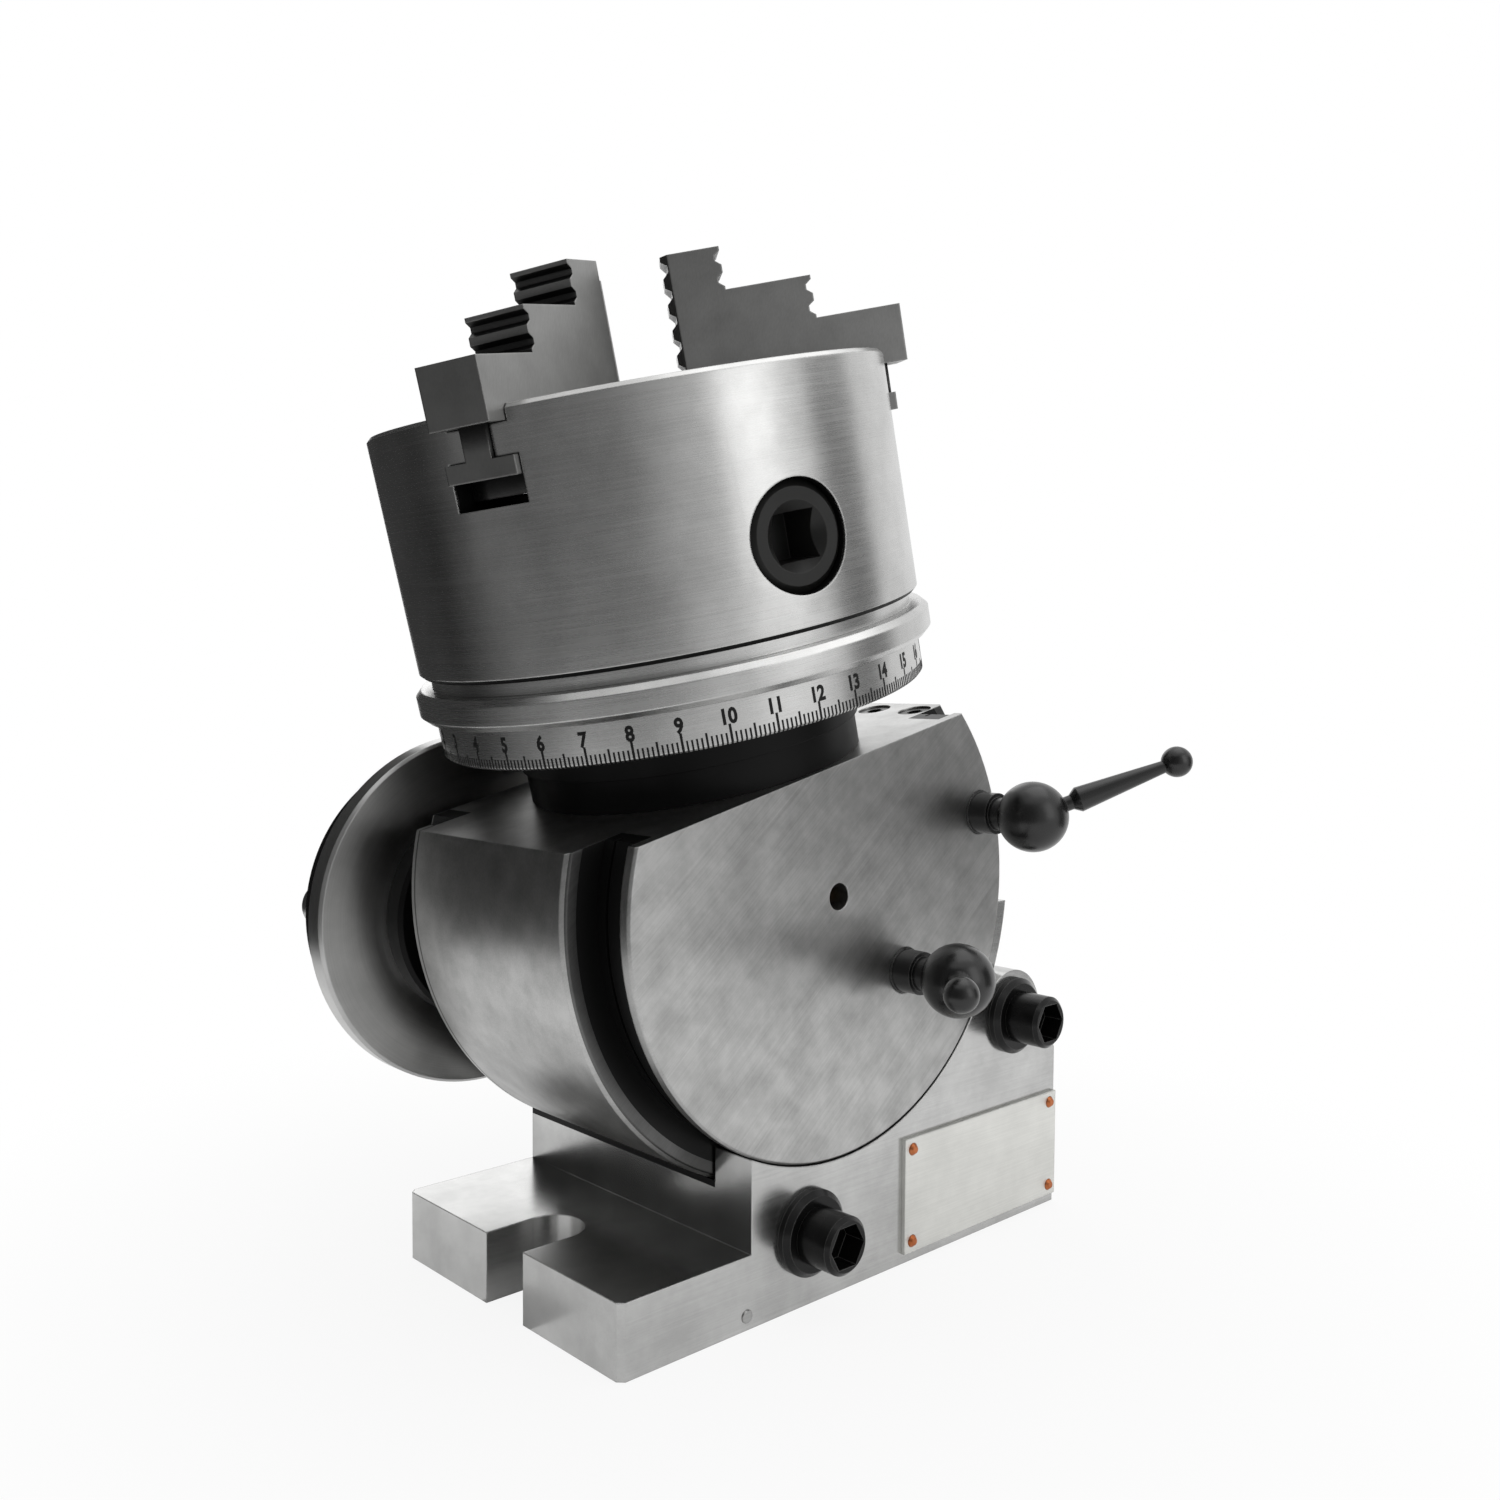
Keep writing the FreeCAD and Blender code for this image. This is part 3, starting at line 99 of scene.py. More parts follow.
def stage_grid(name, points, coat):
    """A stage panel from a grid of points in metres: rows by steps by three."""
    rows, steps = points.shape[:2]
    first = (np.arange(rows - 1)[:, None] * steps + np.arange(steps - 1)).reshape(-1)
    faces = first[:, None] + np.array([0, 1, steps + 1, steps])
    sheet = bpy.data.meshes.new(name)
    sheet.from_pydata(points.reshape(-1, 3).tolist(), [], faces.tolist())
    sheet.materials.append(coat)
    panel = bpy.data.objects.new(name, sheet)
    bpy.context.scene.collection.objects.link(panel)
    return panel


white = linear("#ffffff")
sweep_edges = np.array([-6.0, 6.0])
sweep_height = -0.0002
slot_half_width, slot_reach = 0.0105, 0.083
paper, tree = empty_coat("white_paper_sweep")
place = put(tree, "ShaderNodeTexCoord").outputs["Object"]
distance = put(tree, "ShaderNodeVectorMath", {0: place}, operation="LENGTH").outputs["Value"]
# The paper is a little grey close to the object, more so for a mirror, and plain white from there on.
to_eye = put(tree, "ShaderNodeMapRange", {"Value": distance, "From Min": 0.08, "From Max": 0.28, "To Min": 0.88,
                                          "To Max": 1.0}, interpolation_type="SMOOTHSTEP")
to_mirror = put(tree, "ShaderNodeMapRange", {"Value": distance, "From Min": 0.08, "From Max": 0.20,
                                             "To Min": 0.50, "To Max": 1.0}, interpolation_type="SMOOTHSTEP")
# In the base's open slots the paper lies in deep shade, and the slots' walls mirror it.
spot = put(tree, "ShaderNodeSeparateXYZ", {0: place})
aside = put(tree, "ShaderNodeMath", {0: spot.outputs[1]}, operation="ABSOLUTE")
in_slot = put(tree, "ShaderNodeMath", {0: aside.outputs[0], 1: slot_half_width}, operation="LESS_THAN")
in_reach = put(tree, "ShaderNodeMath", {0: distance, 1: slot_reach}, operation="LESS_THAN")
shade = put(tree, "ShaderNodeMath", {0: in_slot.outputs[0], 1: in_reach.outputs[0]}, operation="MULTIPLY")
open_share = put(tree, "ShaderNodeMath", {0: 1.0, 1: shade.outputs[0]}, operation="SUBTRACT")
kept = put(tree, "ShaderNodeMath", {0: to_mirror.outputs[0], 1: open_share.outputs[0]}, operation="MULTIPLY")
share = seen_directly(tree, to_eye.outputs[0], kept.outputs[0])
dull = put(tree, "ShaderNodeBsdfDiffuse", {"Color": linear("#ececec")})
glow = put(tree, "ShaderNodeEmission", {"Color": white, "Strength": 1.0})
sweep = put(tree, "ShaderNodeMixShader", {0: share, 1: dull.outputs[0], 2: glow.outputs[0]})
put(tree, "ShaderNodeOutputMaterial", {"Surface": sweep.outputs[0]})
across, along = np.meshgrid(sweep_edges, sweep_edges)
stage_grid("floor", np.stack([across, along, np.full_like(across, sweep_height)], axis=-1), paper)

# Room. White all round for the eye and for mirrors, and a lower even light for everything dull.
world = bpy.data.worlds.new("studio")
bpy.context.scene.world = world
world.use_nodes = True
tree = world.node_tree
tree.nodes.clear()
room_level = 0.70
strength = put(tree, "ShaderNodeMath", {0: seen_directly(tree), 1: room_level}, operation="MAXIMUM")
studio = put(tree, "ShaderNodeBackground", {"Color": white, "Strength": strength.outputs[0]})
put(tree, "ShaderNodeOutputWorld", {"Surface": studio.outputs[0]})


# Cards. Ground steel shows what it mirrors, so black and grey card stands round the table and lies on its far
# part, as a photographer of bright metal sets it. It shows in reflections only, and its grey runs evenly.
card_stand = 0.95
card_height = 0.001


def ring_card(name, top, stations):
    """A card ring through stations, each a compass turn, a grey level and the distance at which it starts:
    flat on the table out to card_stand, then upright to the top. Levels and distances run evenly between
    stations, one step a degree."""
    turns, levels, nears = np.array(stations).T
    steps = np.linspace(turns[0], turns[-1], int(turns[-1] - turns[0]) + 1)
    compass = np.radians(steps)
    stand = np.full_like(steps, card_stand)
    reach = np.stack([np.interp(steps, turns, nears), stand, stand])
    height = np.array([card_height, card_height, top])[:, None] + np.zeros_like(reach)
    coat, tree = empty_coat(name)
    grey = put(tree, "ShaderNodeAttribute", attribute_name="level")
    glow = put(tree, "ShaderNodeEmission", {"Color": white, "Strength": grey.outputs["Fac"]})
    put(tree, "ShaderNodeOutputMaterial", {"Surface": glow.outputs[0]})
    panel = stage_grid(name, np.stack([reach * np.cos(compass), reach * np.sin(compass), height], axis=-1), coat)
    values = panel.data.attributes.new("level", "FLOAT", "POINT")
    values.data.foreach_set("value", np.tile(np.interp(steps, turns, levels), len(reach)))
    panel.visible_camera = False
    panel.visible_diffuse = False
    panel.visible_shadow = False


ring_card("card_left", 1.2, [(74, 0.05, 0.38), (121, 0.05, 0.38), (123, 0.03, 0.30), (134, 0.03, 0.30),
                             (148, 0.09, 0.30), (160, 0.21, 0.26), (172, 0.19, 0.30), (186, 0.155, 0.35),
                             (197, 0.19, 0.35), (218, 0.22, 0.35), (229, 0.27, 0.40), (240, 0.46, 0.48),
                             (250, 0.60, 0.56), (264, 0.66, 0.66)])
ring_card("card_front_right", 0.5, [(306, 0.16, 0.42), (318, 0.20, 0.42), (334, 0.24, 0.42)])


# Lamps. A tall softbox at the front, a wide one overhead and one at the back on the right. Each adds only a
# little to the white room, enough for a bright band on round steel and a soft shadow on the paper.
lit_middle = Vector((0.0, 0.0, 0.13))


def soft_lamp(name, centre, width, height, radiance):
    """A flat lamp of the given size that faces the object; its brightness is in units of the white paper."""
    lamp = bpy.data.lights.new(name, "AREA")
    lamp.shape = "RECTANGLE"
    lamp.size = width
    lamp.size_y = height
    lamp.energy = radiance * math.pi * width * height
    holder = bpy.data.objects.new(name, lamp)
    holder.location = centre
    holder.rotation_mode = "QUATERNION"
    holder.rotation_quaternion = (lit_middle - Vector(centre)).to_track_quat("-Z", "Y")
    bpy.context.scene.collection.objects.link(holder)


soft_lamp("key", (0.105, -0.91, 0.46), 0.46, 0.75, 0.90)
soft_lamp("top", (0.25, -0.10, 1.10), 0.80, 0.80, 0.90)
soft_lamp("back", (0.48, 0.80, 0.58), 0.60, 0.62, 0.60)


# Base. A block of grey cast iron with a round saddle, milled and then surface-ground along its length; the
# table's bolts hold it through two open slots. Ground iron looks satin and a little cloudy, lined lengthways.
def finish_coat(name, metallic=1.0):
    """Starts a material: its node tree, its Principled shader and the surface's own place."""
    coat, tree = empty_coat(name)
    shader = put(tree, "ShaderNodeBsdfPrincipled", {"Metallic": metallic})
    put(tree, "ShaderNodeOutputMaterial", {"Surface": shader.outputs[0]})
    return coat, tree, shader, put(tree, "ShaderNodeTexCoord").outputs["Object"]


def straight_lines(tree, place, turn, length, width):
    """Noise drawn out into straight lines of a length and width in metres, turned in the side view."""
    turned = put(tree, "ShaderNodeMapping", {"Vector": place, "Rotation": (0.0, math.radians(turn), 0.0)})
    drawn = put(tree, "ShaderNodeMapping", {"Vector": turned.outputs[0],
                                            "Scale": (1.0 / length, 1.0 / width, 1.0 / width)})
    return put(tree, "ShaderNodeTexNoise", {"Vector": drawn.outputs[0], "Scale": 1.0,
                                            "Detail": 3.0}).outputs["Fac"]


metal_corner = 0.0005


def shade_metal(tree, shader, place, lines, dark, light, rough, relief_depth, line_share=0.6,
                cloud_size=0.014):
    """Colour from soft clouds and lines, roughness and relief from the lines, and corners rounded to the eye."""
    clouds = put(tree, "ShaderNodeTexNoise", {"Vector": place, "Scale": 1.0 / cloud_size, "Detail": 5.0,
                                              "Roughness": 0.6}).outputs["Fac"]
    part = put(tree, "ShaderNodeMath", {0: lines, 1: line_share, 2: 0.5 * (1.0 - line_share)},
               operation="MULTIPLY_ADD")
    both = put(tree, "ShaderNodeMath", {0: clouds, 1: part.outputs[0]}, operation="ADD")
    tint = put(tree, "ShaderNodeMapRange", {"Value": both.outputs[0], "From Min": 0.80, "From Max": 1.20})
    blend = put(tree, "ShaderNodeMix", {0: tint.outputs[0], 6: linear(dark), 7: linear(light)}, data_type="RGBA")
    streak = put(tree, "ShaderNodeMapRange", {"Value": part.outputs[0], "From Min": 0.3, "From Max": 0.7,
                                              "To Min": rough - 0.04, "To Max": rough + 0.05})
    corner = put(tree, "ShaderNodeBevel", {"Radius": metal_corner}, samples=4)
    relief = put(tree, "ShaderNodeBump", {"Height": lines, "Strength": 0.2, "Distance": relief_depth,
                                          "Normal": corner.outputs[0]})
    tree.links.new(blend.outputs[2], shader.inputs["Base Color"])
    tree.links.new(streak.outputs[0], shader.inputs["Roughness"])
    tree.links.new(relief.outputs[0], shader.inputs["Normal"])


def lined_metal(name, dark, light, rough, turn, length, width):
    """A metal ground or brushed in straight lines, a hundredth of a millimetre deep."""
    coat, tree, shader, place = finish_coat(name)
    shade_metal(tree, shader, place, straight_lines(tree, place, turn, length, width), dark, light, rough,
                0.00001)
    return coat


drum_axis = (0.0, 0.0, 0.1)


def off_drum_axis(tree, place):
    """A point's distance from the drum's axis, which runs from front to back, and its place along it."""
    centred = put(tree, "ShaderNodeVectorMath", {0: place, 1: drum_axis}, operation="SUBTRACT")
    parts = put(tree, "ShaderNodeSeparateXYZ", {0: centred.outputs[0]})
    around = put(tree, "ShaderNodeCombineXYZ", {0: parts.outputs[0], 2: parts.outputs[2]})
    radius = put(tree, "ShaderNodeVectorMath", {0: around.outputs[0]}, operation="LENGTH").outputs["Value"]
    return radius, parts.outputs[1]


def cover(tree, shader, share, colour, roughness, specular=0.25):
    """Lays a dark film over a metal, as far as a share from zero to one says: real paint, or a painted shade."""
    film = put(tree, "ShaderNodeBsdfPrincipled", {"Base Color": linear(colour), "Roughness": roughness,
                                                  "Specular IOR Level": specular})
    covered = put(tree, "ShaderNodeMixShader", {0: share, 1: shader.outputs[0], 2: film.outputs[0]})
    tree.links.new(covered.outputs[0], tree.nodes["Material Output"].inputs["Surface"])


def dress(coat, *names):
    """Gives CAD nodes a finish in their own material slots."""
    for name in names:
        mesh = nodes[name].data
        mesh.materials.clear()
        mesh.materials.append(coat)


# The wheel's real lines are about 0.05 mm apart; they are drawn 0.3 mm apart so that they show. Painted shade:
# a dark line along the saddle's edge, where the drum comes out of the base, stands for the shade in the narrow
# gap.
saddle_radius, gap_shade_width, cheek_back = 0.0739, 0.0015, -0.0326
coat, tree, shader, place = finish_coat("surface_ground_iron")
lines = straight_lines(tree, place, 0.0, 0.03, 0.0003)
shade_metal(tree, shader, place, lines, "#b6b6b5", "#cacac9", 0.23, 0.000006, 0.4)
radius, along = off_drum_axis(tree, place)
# Painted shade: a dark band 1.5 mm past the saddle's radius, behind the cheek, for the shaded gap.
near_edge = put(tree, "ShaderNodeMath", {0: radius, 1: saddle_radius + gap_shade_width}, operation="LESS_THAN")
behind_cheek = put(tree, "ShaderNodeMath", {0: along, 1: cheek_back}, operation="GREATER_THAN")
gap_shade = put(tree, "ShaderNodeMath", {0: near_edge.outputs[0], 1: behind_cheek.outputs[0]}, operation="MULTIPLY")
cover(tree, shader, gap_shade.outputs[0], "#0a0a0a", 0.5, 0.2)
dress(coat, "base")

# Nameplate. Thin aluminium sheet brushed along its length, a pale satin without print, on four copper rivets
# driven into the base's front.
dress(lined_metal("brushed_aluminium", "#d6d6d2", "#e4e4e0", 0.40, 0.0, 0.02, 0.0003), "nameplate")
# Rivet heads are hammered, so their colour is broken up over 2 mm instead of lined.
dress(lined_metal("hammered_copper", "#a65a34", "#c47a50", 0.30, 0.0, 0.002, 0.002), "nameplate_rivets")


# Clamp screws and washers. Heat-blackened alloy steel, screwed through the base into split cotters that grip the
# tilting body. The black is thin and oily: deep, with a tight shine, and lighter along corners, partly worn grey
# and partly a painted highlight.
grain_size, film_size = 0.0008, 0.011
black_corner = 0.0004


def black_finish(name, colour, roughness, worn_and_lit_edge_colour=None, specular=0.25):
    """A dark finish with a fine grain and an uneven shine, and a lighter colour where a corner turns sharply:
    wear, and a painted highlight along the edges.
    """
    coat, tree, shader, place = finish_coat(name, 0.0)
    grain = put(tree, "ShaderNodeTexNoise", {"Vector": place, "Scale": 1.0 / grain_size, "Detail": 3.0})
    film = put(tree, "ShaderNodeTexNoise", {"Vector": place, "Scale": 1.0 / film_size, "Detail": 4.0})
    shine = put(tree, "ShaderNodeMapRange", {"Value": film.outputs["Fac"], "From Min": 0.3, "From Max": 0.7,
                                             "To Min": roughness - 0.05, "To Max": roughness + 0.07})
    corner = put(tree, "ShaderNodeBevel", {"Radius": black_corner}, samples=4)
    relief = put(tree, "ShaderNodeBump", {"Height": grain.outputs["Fac"], "Strength": 0.12, "Distance": 0.00003,
                                          "Normal": corner.outputs[0]})
    shader.inputs["Base Color"].default_value = linear(colour)
    shader.inputs["Specular IOR Level"].default_value = specular
    # Wear and painted highlight: corners take a lighter colour.
    if worn_and_lit_edge_colour:
        flat_way = put(tree, "ShaderNodeNewGeometry").outputs["Normal"]
        turned = put(tree, "ShaderNodeVectorMath", {0: corner.outputs[0], 1: flat_way}, operation="DOT_PRODUCT")
        edge = put(tree, "ShaderNodeMapRange", {"Value": turned.outputs["Value"], "From Min": 0.99,
                                                "From Max": 0.80})
        worn = put(tree, "ShaderNodeMath", {0: edge.outputs[0], 1: film.outputs["Fac"]}, operation="MULTIPLY")
        tint = put(tree, "ShaderNodeMix", {0: worn.outputs[0], 6: linear(colour), 7: linear(worn_and_lit_edge_colour)},
                   data_type="RGBA")
        tree.links.new(tint.outputs[2], shader.inputs["Base Color"])
    tree.links.new(shine.outputs[0], shader.inputs["Roughness"])
    tree.links.new(relief.outputs[0], shader.inputs["Normal"])
    return coat


black_steel = black_finish("black_oxide_steel", "#0a0a0a", 0.24, "#7c7c7a")
dress(black_steel, "clamp_screw_left", "clamp_screw_right", "clamp_washers")
# Drawn steel keeps faint lines along the bar and a soft, even shine.
bright_steel = lined_metal("drawn_steel", "#a2a2a1", "#b6b6b5", 0.30, 0.0, 0.02, 0.0003)
dress(bright_steel, "clamp_cotters", "base_plug")

# Tilting body. A drum of grey cast iron, turned and ground, with its front disc finished by hand in slanting
# strokes, and the groove behind the disc brushed with satin black paint.
groove_radii = (0.060, 0.0698)
groove_depths = (0.03195, 0.04265)
land_radii = (0.0697, 0.0750)
land_depths = (0.0316, 0.03225)
coat, tree, shader, place = finish_coat("hand_finished_iron")
lines = straight_lines(tree, place, 40.0, 0.045, 0.0004)
shade_metal(tree, shader, place, lines, "#a2a2a1", "#bfbfbe", 0.33, 0.000005, 0.45, 0.009)
radius, along = off_drum_axis(tree, place)
depth = put(tree, "ShaderNodeMath", {0: along}, operation="ABSOLUTE").outputs[0]


def in_ring(tree, radius, radii, depth, depths):
    """One where a radius and a depth both lie in their ranges, else zero."""
    tests = [put(tree, "ShaderNodeMath", {0: measure, 1: limit}, operation=way).outputs[0]
             for measure, limits in ((radius, radii), (depth, depths))
             for limit, way in zip(limits, ("GREATER_THAN", "LESS_THAN"))]
    inside = tests[0]
    for test in tests[1:]:
        inside = put(tree, "ShaderNodeMath", {0: inside, 1: test}, operation="MULTIPLY").outputs[0]
    return inside


# Painted shade: three quarters of the same black dulls the drum's narrow land beside the groove, standing in
# for the dim reflection it shows; the groove itself has real black paint.
land_shade = put(tree, "ShaderNodeMath", {0: in_ring(tree, radius, land_radii, depth, land_depths), 1: 0.75},
            operation="MULTIPLY").outputs[0]
groove = in_ring(tree, radius, groove_radii, depth, groove_depths)
paint_and_land_shade = put(tree, "ShaderNodeMath", {0: land_shade, 1: groove}, operation="MAXIMUM").outputs[0]
cover(tree, shader, paint_and_land_shade, "#090909", 0.40)
dress(coat, "head_body")
dress(black_steel, "flat_screws")

# Bearing boss and dust ring. A cast-iron collar on top of the drum that carries the spindle's front bearing,
# under satin black paint that hides the casting's grain down to a faint orange peel.
black_paint = black_finish("satin_black_paint", "#0a0a0a", 0.38, specular=0.12)
dress(black_paint, "bearing_carrier", "dust_ring")

# Worm wheel, bushes and brake shoe. Cast bronze, turned and hobbed, pressed on and about the spindle. Machined
# bronze is a dull gold with fine tool lines.
dress(lined_metal("machined_bronze", "#9c7a42", "#b08c50", 0.34, 14.0, 0.01, 0.0003), "front_bush", "rear_bush",
      "brake_shoe")
dress(lined_metal("greased_bronze", "#43361f", "#5a492a", 0.38, 14.0, 0.01, 0.0003), "worm_wheel")


# Spindle, dial and flange. Turned steel on the tilted spindle: the hollow spindle itself, its tail cover, the
# graduated dial and the flange that carries the chuck. Each shows fine rings about the spindle.
# The tool's real lines are about 0.1 mm apart; they are drawn 0.3 mm apart so that they show.
tool_line, tool_depth = 0.0003, 0.000008
ring_drift = 0.02


def turned_metal(name, dark, light, rough, centre, axis, turn):
    """A metal turned in a lathe: noise in rings about an axis. The axis is turned upright, then only the radius
    and the height are read, with a slow drift across so that no ring closes on itself exactly."""
    coat, tree, shader, place = finish_coat(name)
    moved = put(tree, "ShaderNodeVectorMath", {0: place, 1: centre}, operation="SUBTRACT")
    upright = put(tree, "ShaderNodeVectorRotate", {"Vector": moved.outputs[0], "Axis": axis,
                                                   "Angle": math.radians(turn)}, rotation_type="AXIS_ANGLE")
    parts = put(tree, "ShaderNodeSeparateXYZ", {0: upright.outputs[0]})
    flat = put(tree, "ShaderNodeCombineXYZ", {0: parts.outputs[0], 1: parts.outputs[1]})
    radius = put(tree, "ShaderNodeVectorMath", {0: flat.outputs[0]}, operation="LENGTH").outputs["Value"]
    drift = put(tree, "ShaderNodeMath", {0: parts.outputs[0], 1: ring_drift}, operation="MULTIPLY")
    ring = put(tree, "ShaderNodeCombineXYZ", {0: radius, 1: drift.outputs[0], 2: parts.outputs[2]})
    lines = put(tree, "ShaderNodeTexNoise", {"Vector": ring.outputs[0], "Scale": 1.0 / tool_line,
                                             "Detail": 2.0}).outputs["Fac"]
    shade_metal(tree, shader, place, lines, dark, light, rough, tool_depth, 0.4)
    return coat, tree, shader, radius, parts.outputs[2]


tilt = 14.0
turned_steel = turned_metal("turned_steel", "#b8b8b7", "#cacac9", 0.27, drum_axis, (0.0, 1.0, 0.0), tilt)[0]
dress(turned_steel, "spindle", "tail_cover", "index_dial", "chuck_backplate")
dress(black_steel, "spindle_nut", "chuck_bolts")


# Dial marks. One line a degree, longer at five and ten, and numbers for the tens of degrees, cut into the
# dial's rim and filled with black enamel, which looks matt beside the steel.
def on_spindle(turn, radius, height):
    """World points for a turn about the tilted spindle, a radius and a height, as whole arrays."""
    slope = math.radians(tilt)
    across = radius * np.cos(turn)
    return np.stack([across * math.cos(slope) - height * math.sin(slope), radius * np.sin(turn),
                     drum_axis[2] + across * math.sin(slope) + height * math.cos(slope)], axis=-1)


def spindle_piece(name, points, faces, coat):
    """A new piece on the spindle, from a table of points and lists of face corners."""
    mesh = bpy.data.meshes.new(name)
    mesh.from_pydata(points.tolist(), [], faces)
    mesh.materials.append(coat)
    piece = bpy.data.objects.new(name, mesh)
    bpy.context.scene.collection.objects.link(piece)
    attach(piece, "spindle")


dial_radius, dial_low, dial_edge = 0.0633, 0.0487, 0.0006
zero_turn = math.radians(-221.0)
enamel_proud = 0.00003
ink = black_finish("black_enamel_filling", "#0c0c0c", 0.5)

# Each line is a closed bar: a loop of four corners carried up the rim in three steps, at the foot of the rim's
# bevel, at the bevel's top and at the line's own end.
line_lengths = (0.0046, 0.0036, 0.0027)
half_widths = (0.00029, 0.00025, 0.00022)
degree = np.arange(360)
ranks = [degree % 10 == 0, degree % 5 == 0, degree >= 0]
length = np.select(ranks, line_lengths)
half_turn = np.select(ranks, half_widths) / dial_radius
turn = (zero_turn + np.radians(degree))[:, None, None] + half_turn[:, None, None] * np.array([-1, 1, 1, -1])
depth = np.array([-enamel_proud, -enamel_proud, enamel_proud, enamel_proud])
reach = dial_radius - np.array([dial_edge, 0.0, 0.0])[:, None] + depth
height = dial_low + np.stack([np.zeros(360), np.full(360, dial_edge), length], axis=-1)
turn, reach, height = np.broadcast_arrays(turn, reach, height[:, :, None])
bar = np.array([[0, 3, 2, 1], [8, 9, 10, 11]]
               + [[row + here, row + (here + 1) % 4, row + 4 + (here + 1) % 4, row + 4 + here]
                  for row in (0, 4) for here in range(4)])
bars = (bar + 12 * degree[:, None, None]).reshape(-1, 4)
spindle_piece("dial_lines", on_spindle(turn, reach, height).reshape(-1, 3), bars.tolist(), ink)

# Numbers are laid round the rim: across becomes turn, up becomes height and thickness becomes radius.
letter_size, letter_foot, letter_width = 0.0048, 0.0534, 0.85
for number in range(36):
    writing = bpy.data.curves.new("number", "FONT")
    writing.body = str(number)
    writing.align_x = "CENTER"
    writing.offset = 0.04
    writing.extrude = 0.006
    writing.resolution_u = 3
    holder = bpy.data.objects.new("number", writing)
    flat = bpy.data.meshes.new_from_object(holder)
    spots = np.empty(len(flat.vertices) * 3)
    flat.vertices.foreach_get("co", spots)
    spots = spots.reshape(-1, 3) * letter_size
    turn = zero_turn + math.radians(10.0 * number) + spots[:, 0] * letter_width / dial_radius
    round_rim = on_spindle(turn, dial_radius + spots[:, 2], letter_foot + spots[:, 1])
    spindle_piece("dial_number_%d" % number, round_rim, [list(face.vertices) for face in flat.polygons], ink)
    bpy.data.meshes.remove(flat)
    bpy.data.objects.remove(holder)
    bpy.data.curves.remove(writing)

# Chuck body and cover. A turned steel body bolted to the flange, ground bright outside, with three milled slots
# for the jaws; inside the slots, and in the joint with the flange, the steel is coloured near-black as painted
# shade.
bore_wall, rim_inside = 0.0175, 0.0641
slot_top = 0.1276
joint_height = 0.0704
coat, tree, shader, radius, height = turned_metal("turned_steel_shaded_slots", "#b6b6b5", "#cacac9", 0.27,
                                                  drum_axis, (0.0, 1.0, 0.0), tilt)
# Painted shade: near-black inside the slots and along the joint with the flange.
inside = put(tree, "ShaderNodeMath", {0: radius, 1: rim_inside}, operation="LESS_THAN").outputs[0]
outside = put(tree, "ShaderNodeMath", {0: radius, 1: bore_wall}, operation="GREATER_THAN").outputs[0]
under_face = put(tree, "ShaderNodeMath", {0: height, 1: slot_top}, operation="LESS_THAN").outputs[0]
slot_and_joint_shade = put(tree, "ShaderNodeMath", {0: inside, 1: under_face}, operation="MULTIPLY").outputs[0]
slot_and_joint_shade = put(tree, "ShaderNodeMath", {0: slot_and_joint_shade, 1: outside}, operation="MULTIPLY").outputs[0]
at_joint = put(tree, "ShaderNodeMath", {0: height, 1: joint_height}, operation="LESS_THAN").outputs[0]
slot_and_joint_shade = put(tree, "ShaderNodeMath", {0: slot_and_joint_shade, 1: at_joint}, operation="MAXIMUM").outputs[0]
cover(tree, shader, slot_and_joint_shade, "#0e0e0e", 0.45)
dress(coat, "chuck_body")
dress(turned_steel, "chuck_cover")
dress(black_steel, "chuck_cover_screws")

# Jaws. Hardened tool steel, ground on every side, darker and greyer than the body; they slide in the slots.
# Grooves and inner corners are darkened by occlusion as painted shade.
crease_shade_reach = 0.006
coat, tree, shader, place = finish_coat("ground_tool_steel")
lines = straight_lines(tree, place, 76.0, 0.02, 0.0003)
shade_metal(tree, shader, place, lines, "#888887", "#989897", 0.30, 0.000006, 0.4)
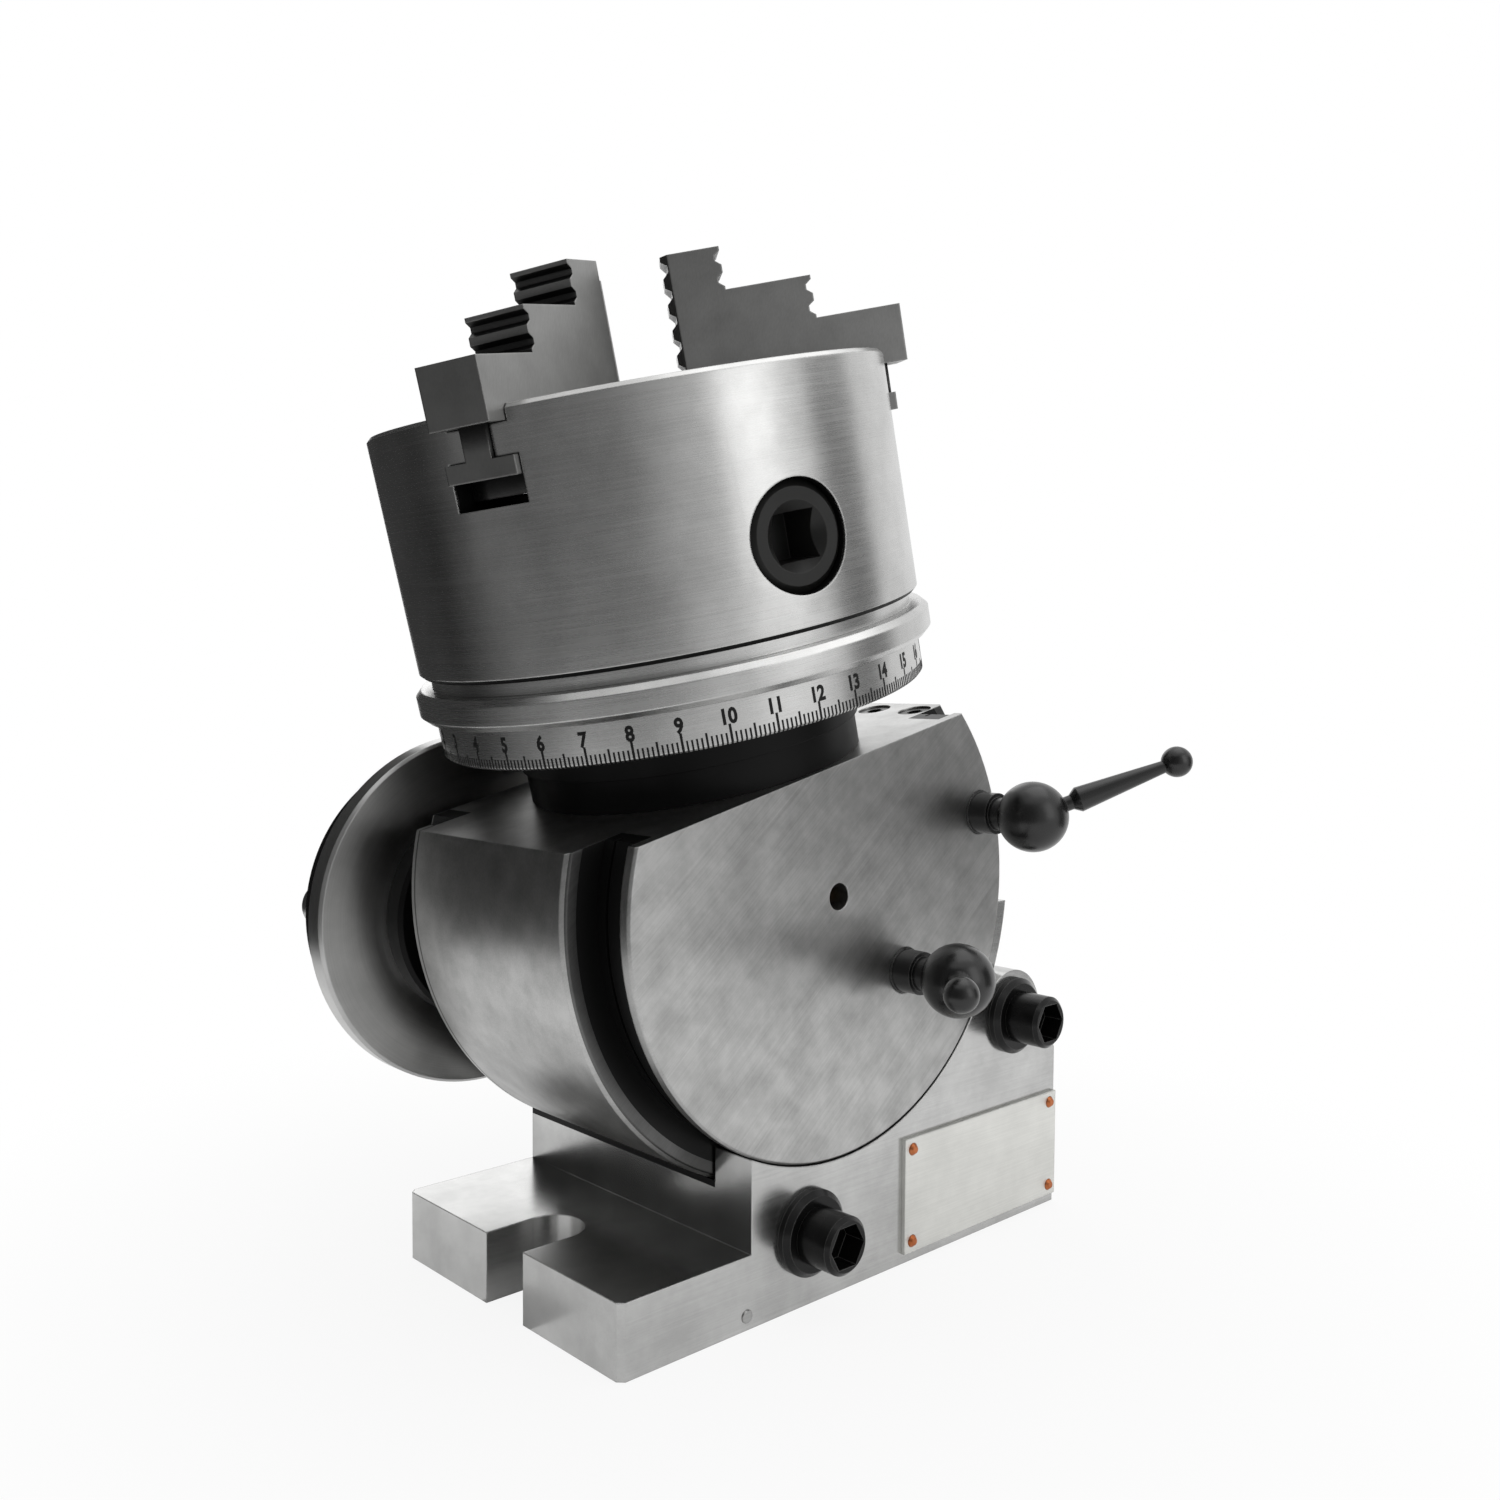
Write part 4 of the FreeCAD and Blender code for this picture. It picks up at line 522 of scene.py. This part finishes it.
# Painted shade: ambient occlusion within 6 mm turns grooves and inner corners near-black.
hollow = put(tree, "ShaderNodeAmbientOcclusion", {"Distance": crease_shade_reach}, samples=6, only_local=True)
crease_shade = put(tree, "ShaderNodeMapRange", {"Value": hollow.outputs["AO"], "From Min": 0.98, "From Max": 0.80})
cover(tree, shader, crease_shade.outputs[0], "#0c0c0c", 0.4)
dress(coat, "jaw_1", "jaw_2", "jaw_3")

# Scroll and pinions. The scroll is a hardened disc inside the body, greased, and near-black as painted shade
# of the deep slots it shows through; each pinion turns it by a square key from the rim. The pinions are
# phosphated, a dull charcoal black rubbed grey at the corners, the grey partly a painted highlight on the edges.
dress(lined_metal("greased_and_shaded_tool_steel", "#1e1e1d", "#2c2c2a", 0.40, 0.0, 0.01, 0.0004), "scroll")
dress(black_finish("phosphated_steel", "#1a1a19", 0.42, "#50504e", 0.3), "chuck_pinion_1", "chuck_pinion_2",
      "chuck_pinion_3")

# Worm shaft and its housing. A steel shaft with the worm lies across the spindle, 43.5 mm to its side, in a
# cast-iron housing bolted to the head's far side under the same black paint. Steel faced in a lathe shows rings.
worm_aside, worm_rise = 0.0435, 0.0005
worm_middle = tuple(on_spindle(math.pi, worm_aside, worm_rise).tolist())
faced_steel = turned_metal("faced_steel", "#aeaead", "#c0c0bf", 0.30, worm_middle, (1.0, 0.0, 0.0), 90.0)[0]
dress(faced_steel, "worm_shaft")
dress(black_paint, "worm_housing")

# Index plate and sector arms. A steel plate faced in the lathe and drilled with three hole circles, held by three
# slotted screws, with two thin arms that count off the holes.
dress(faced_steel, "index_plate", "sector_arm_near", "sector_arm_far")
dress(black_steel, "index_plate_screws")

# Crank. A blackened steel disc arm held on the shaft by a nut, with a spring plunger in a bright bush and a
# moulded black grip, glossy from the mould, that turns on a bright screw.
dress(black_steel, "crank_disc", "crank_nut")
dress(bright_steel, "plunger_bush", "index_plunger", "crank_grip_screw")
dress(black_finish("moulded_phenolic", "#141414", 0.28), "crank_grip")

# Ball levers and their shafts. Forged and turned steel, heat-blackened and oiled to a deep black with a soft
# highlight; the upper one locks the spindle by an eccentric shaft, the lower one sits on its own shaft.
dress(black_finish("oiled_black_steel", "#0c0c0c", 0.25, "#5a5a58", 0.55), "lock_lever", "lock_shaft",
      "release_lever", "release_shaft")
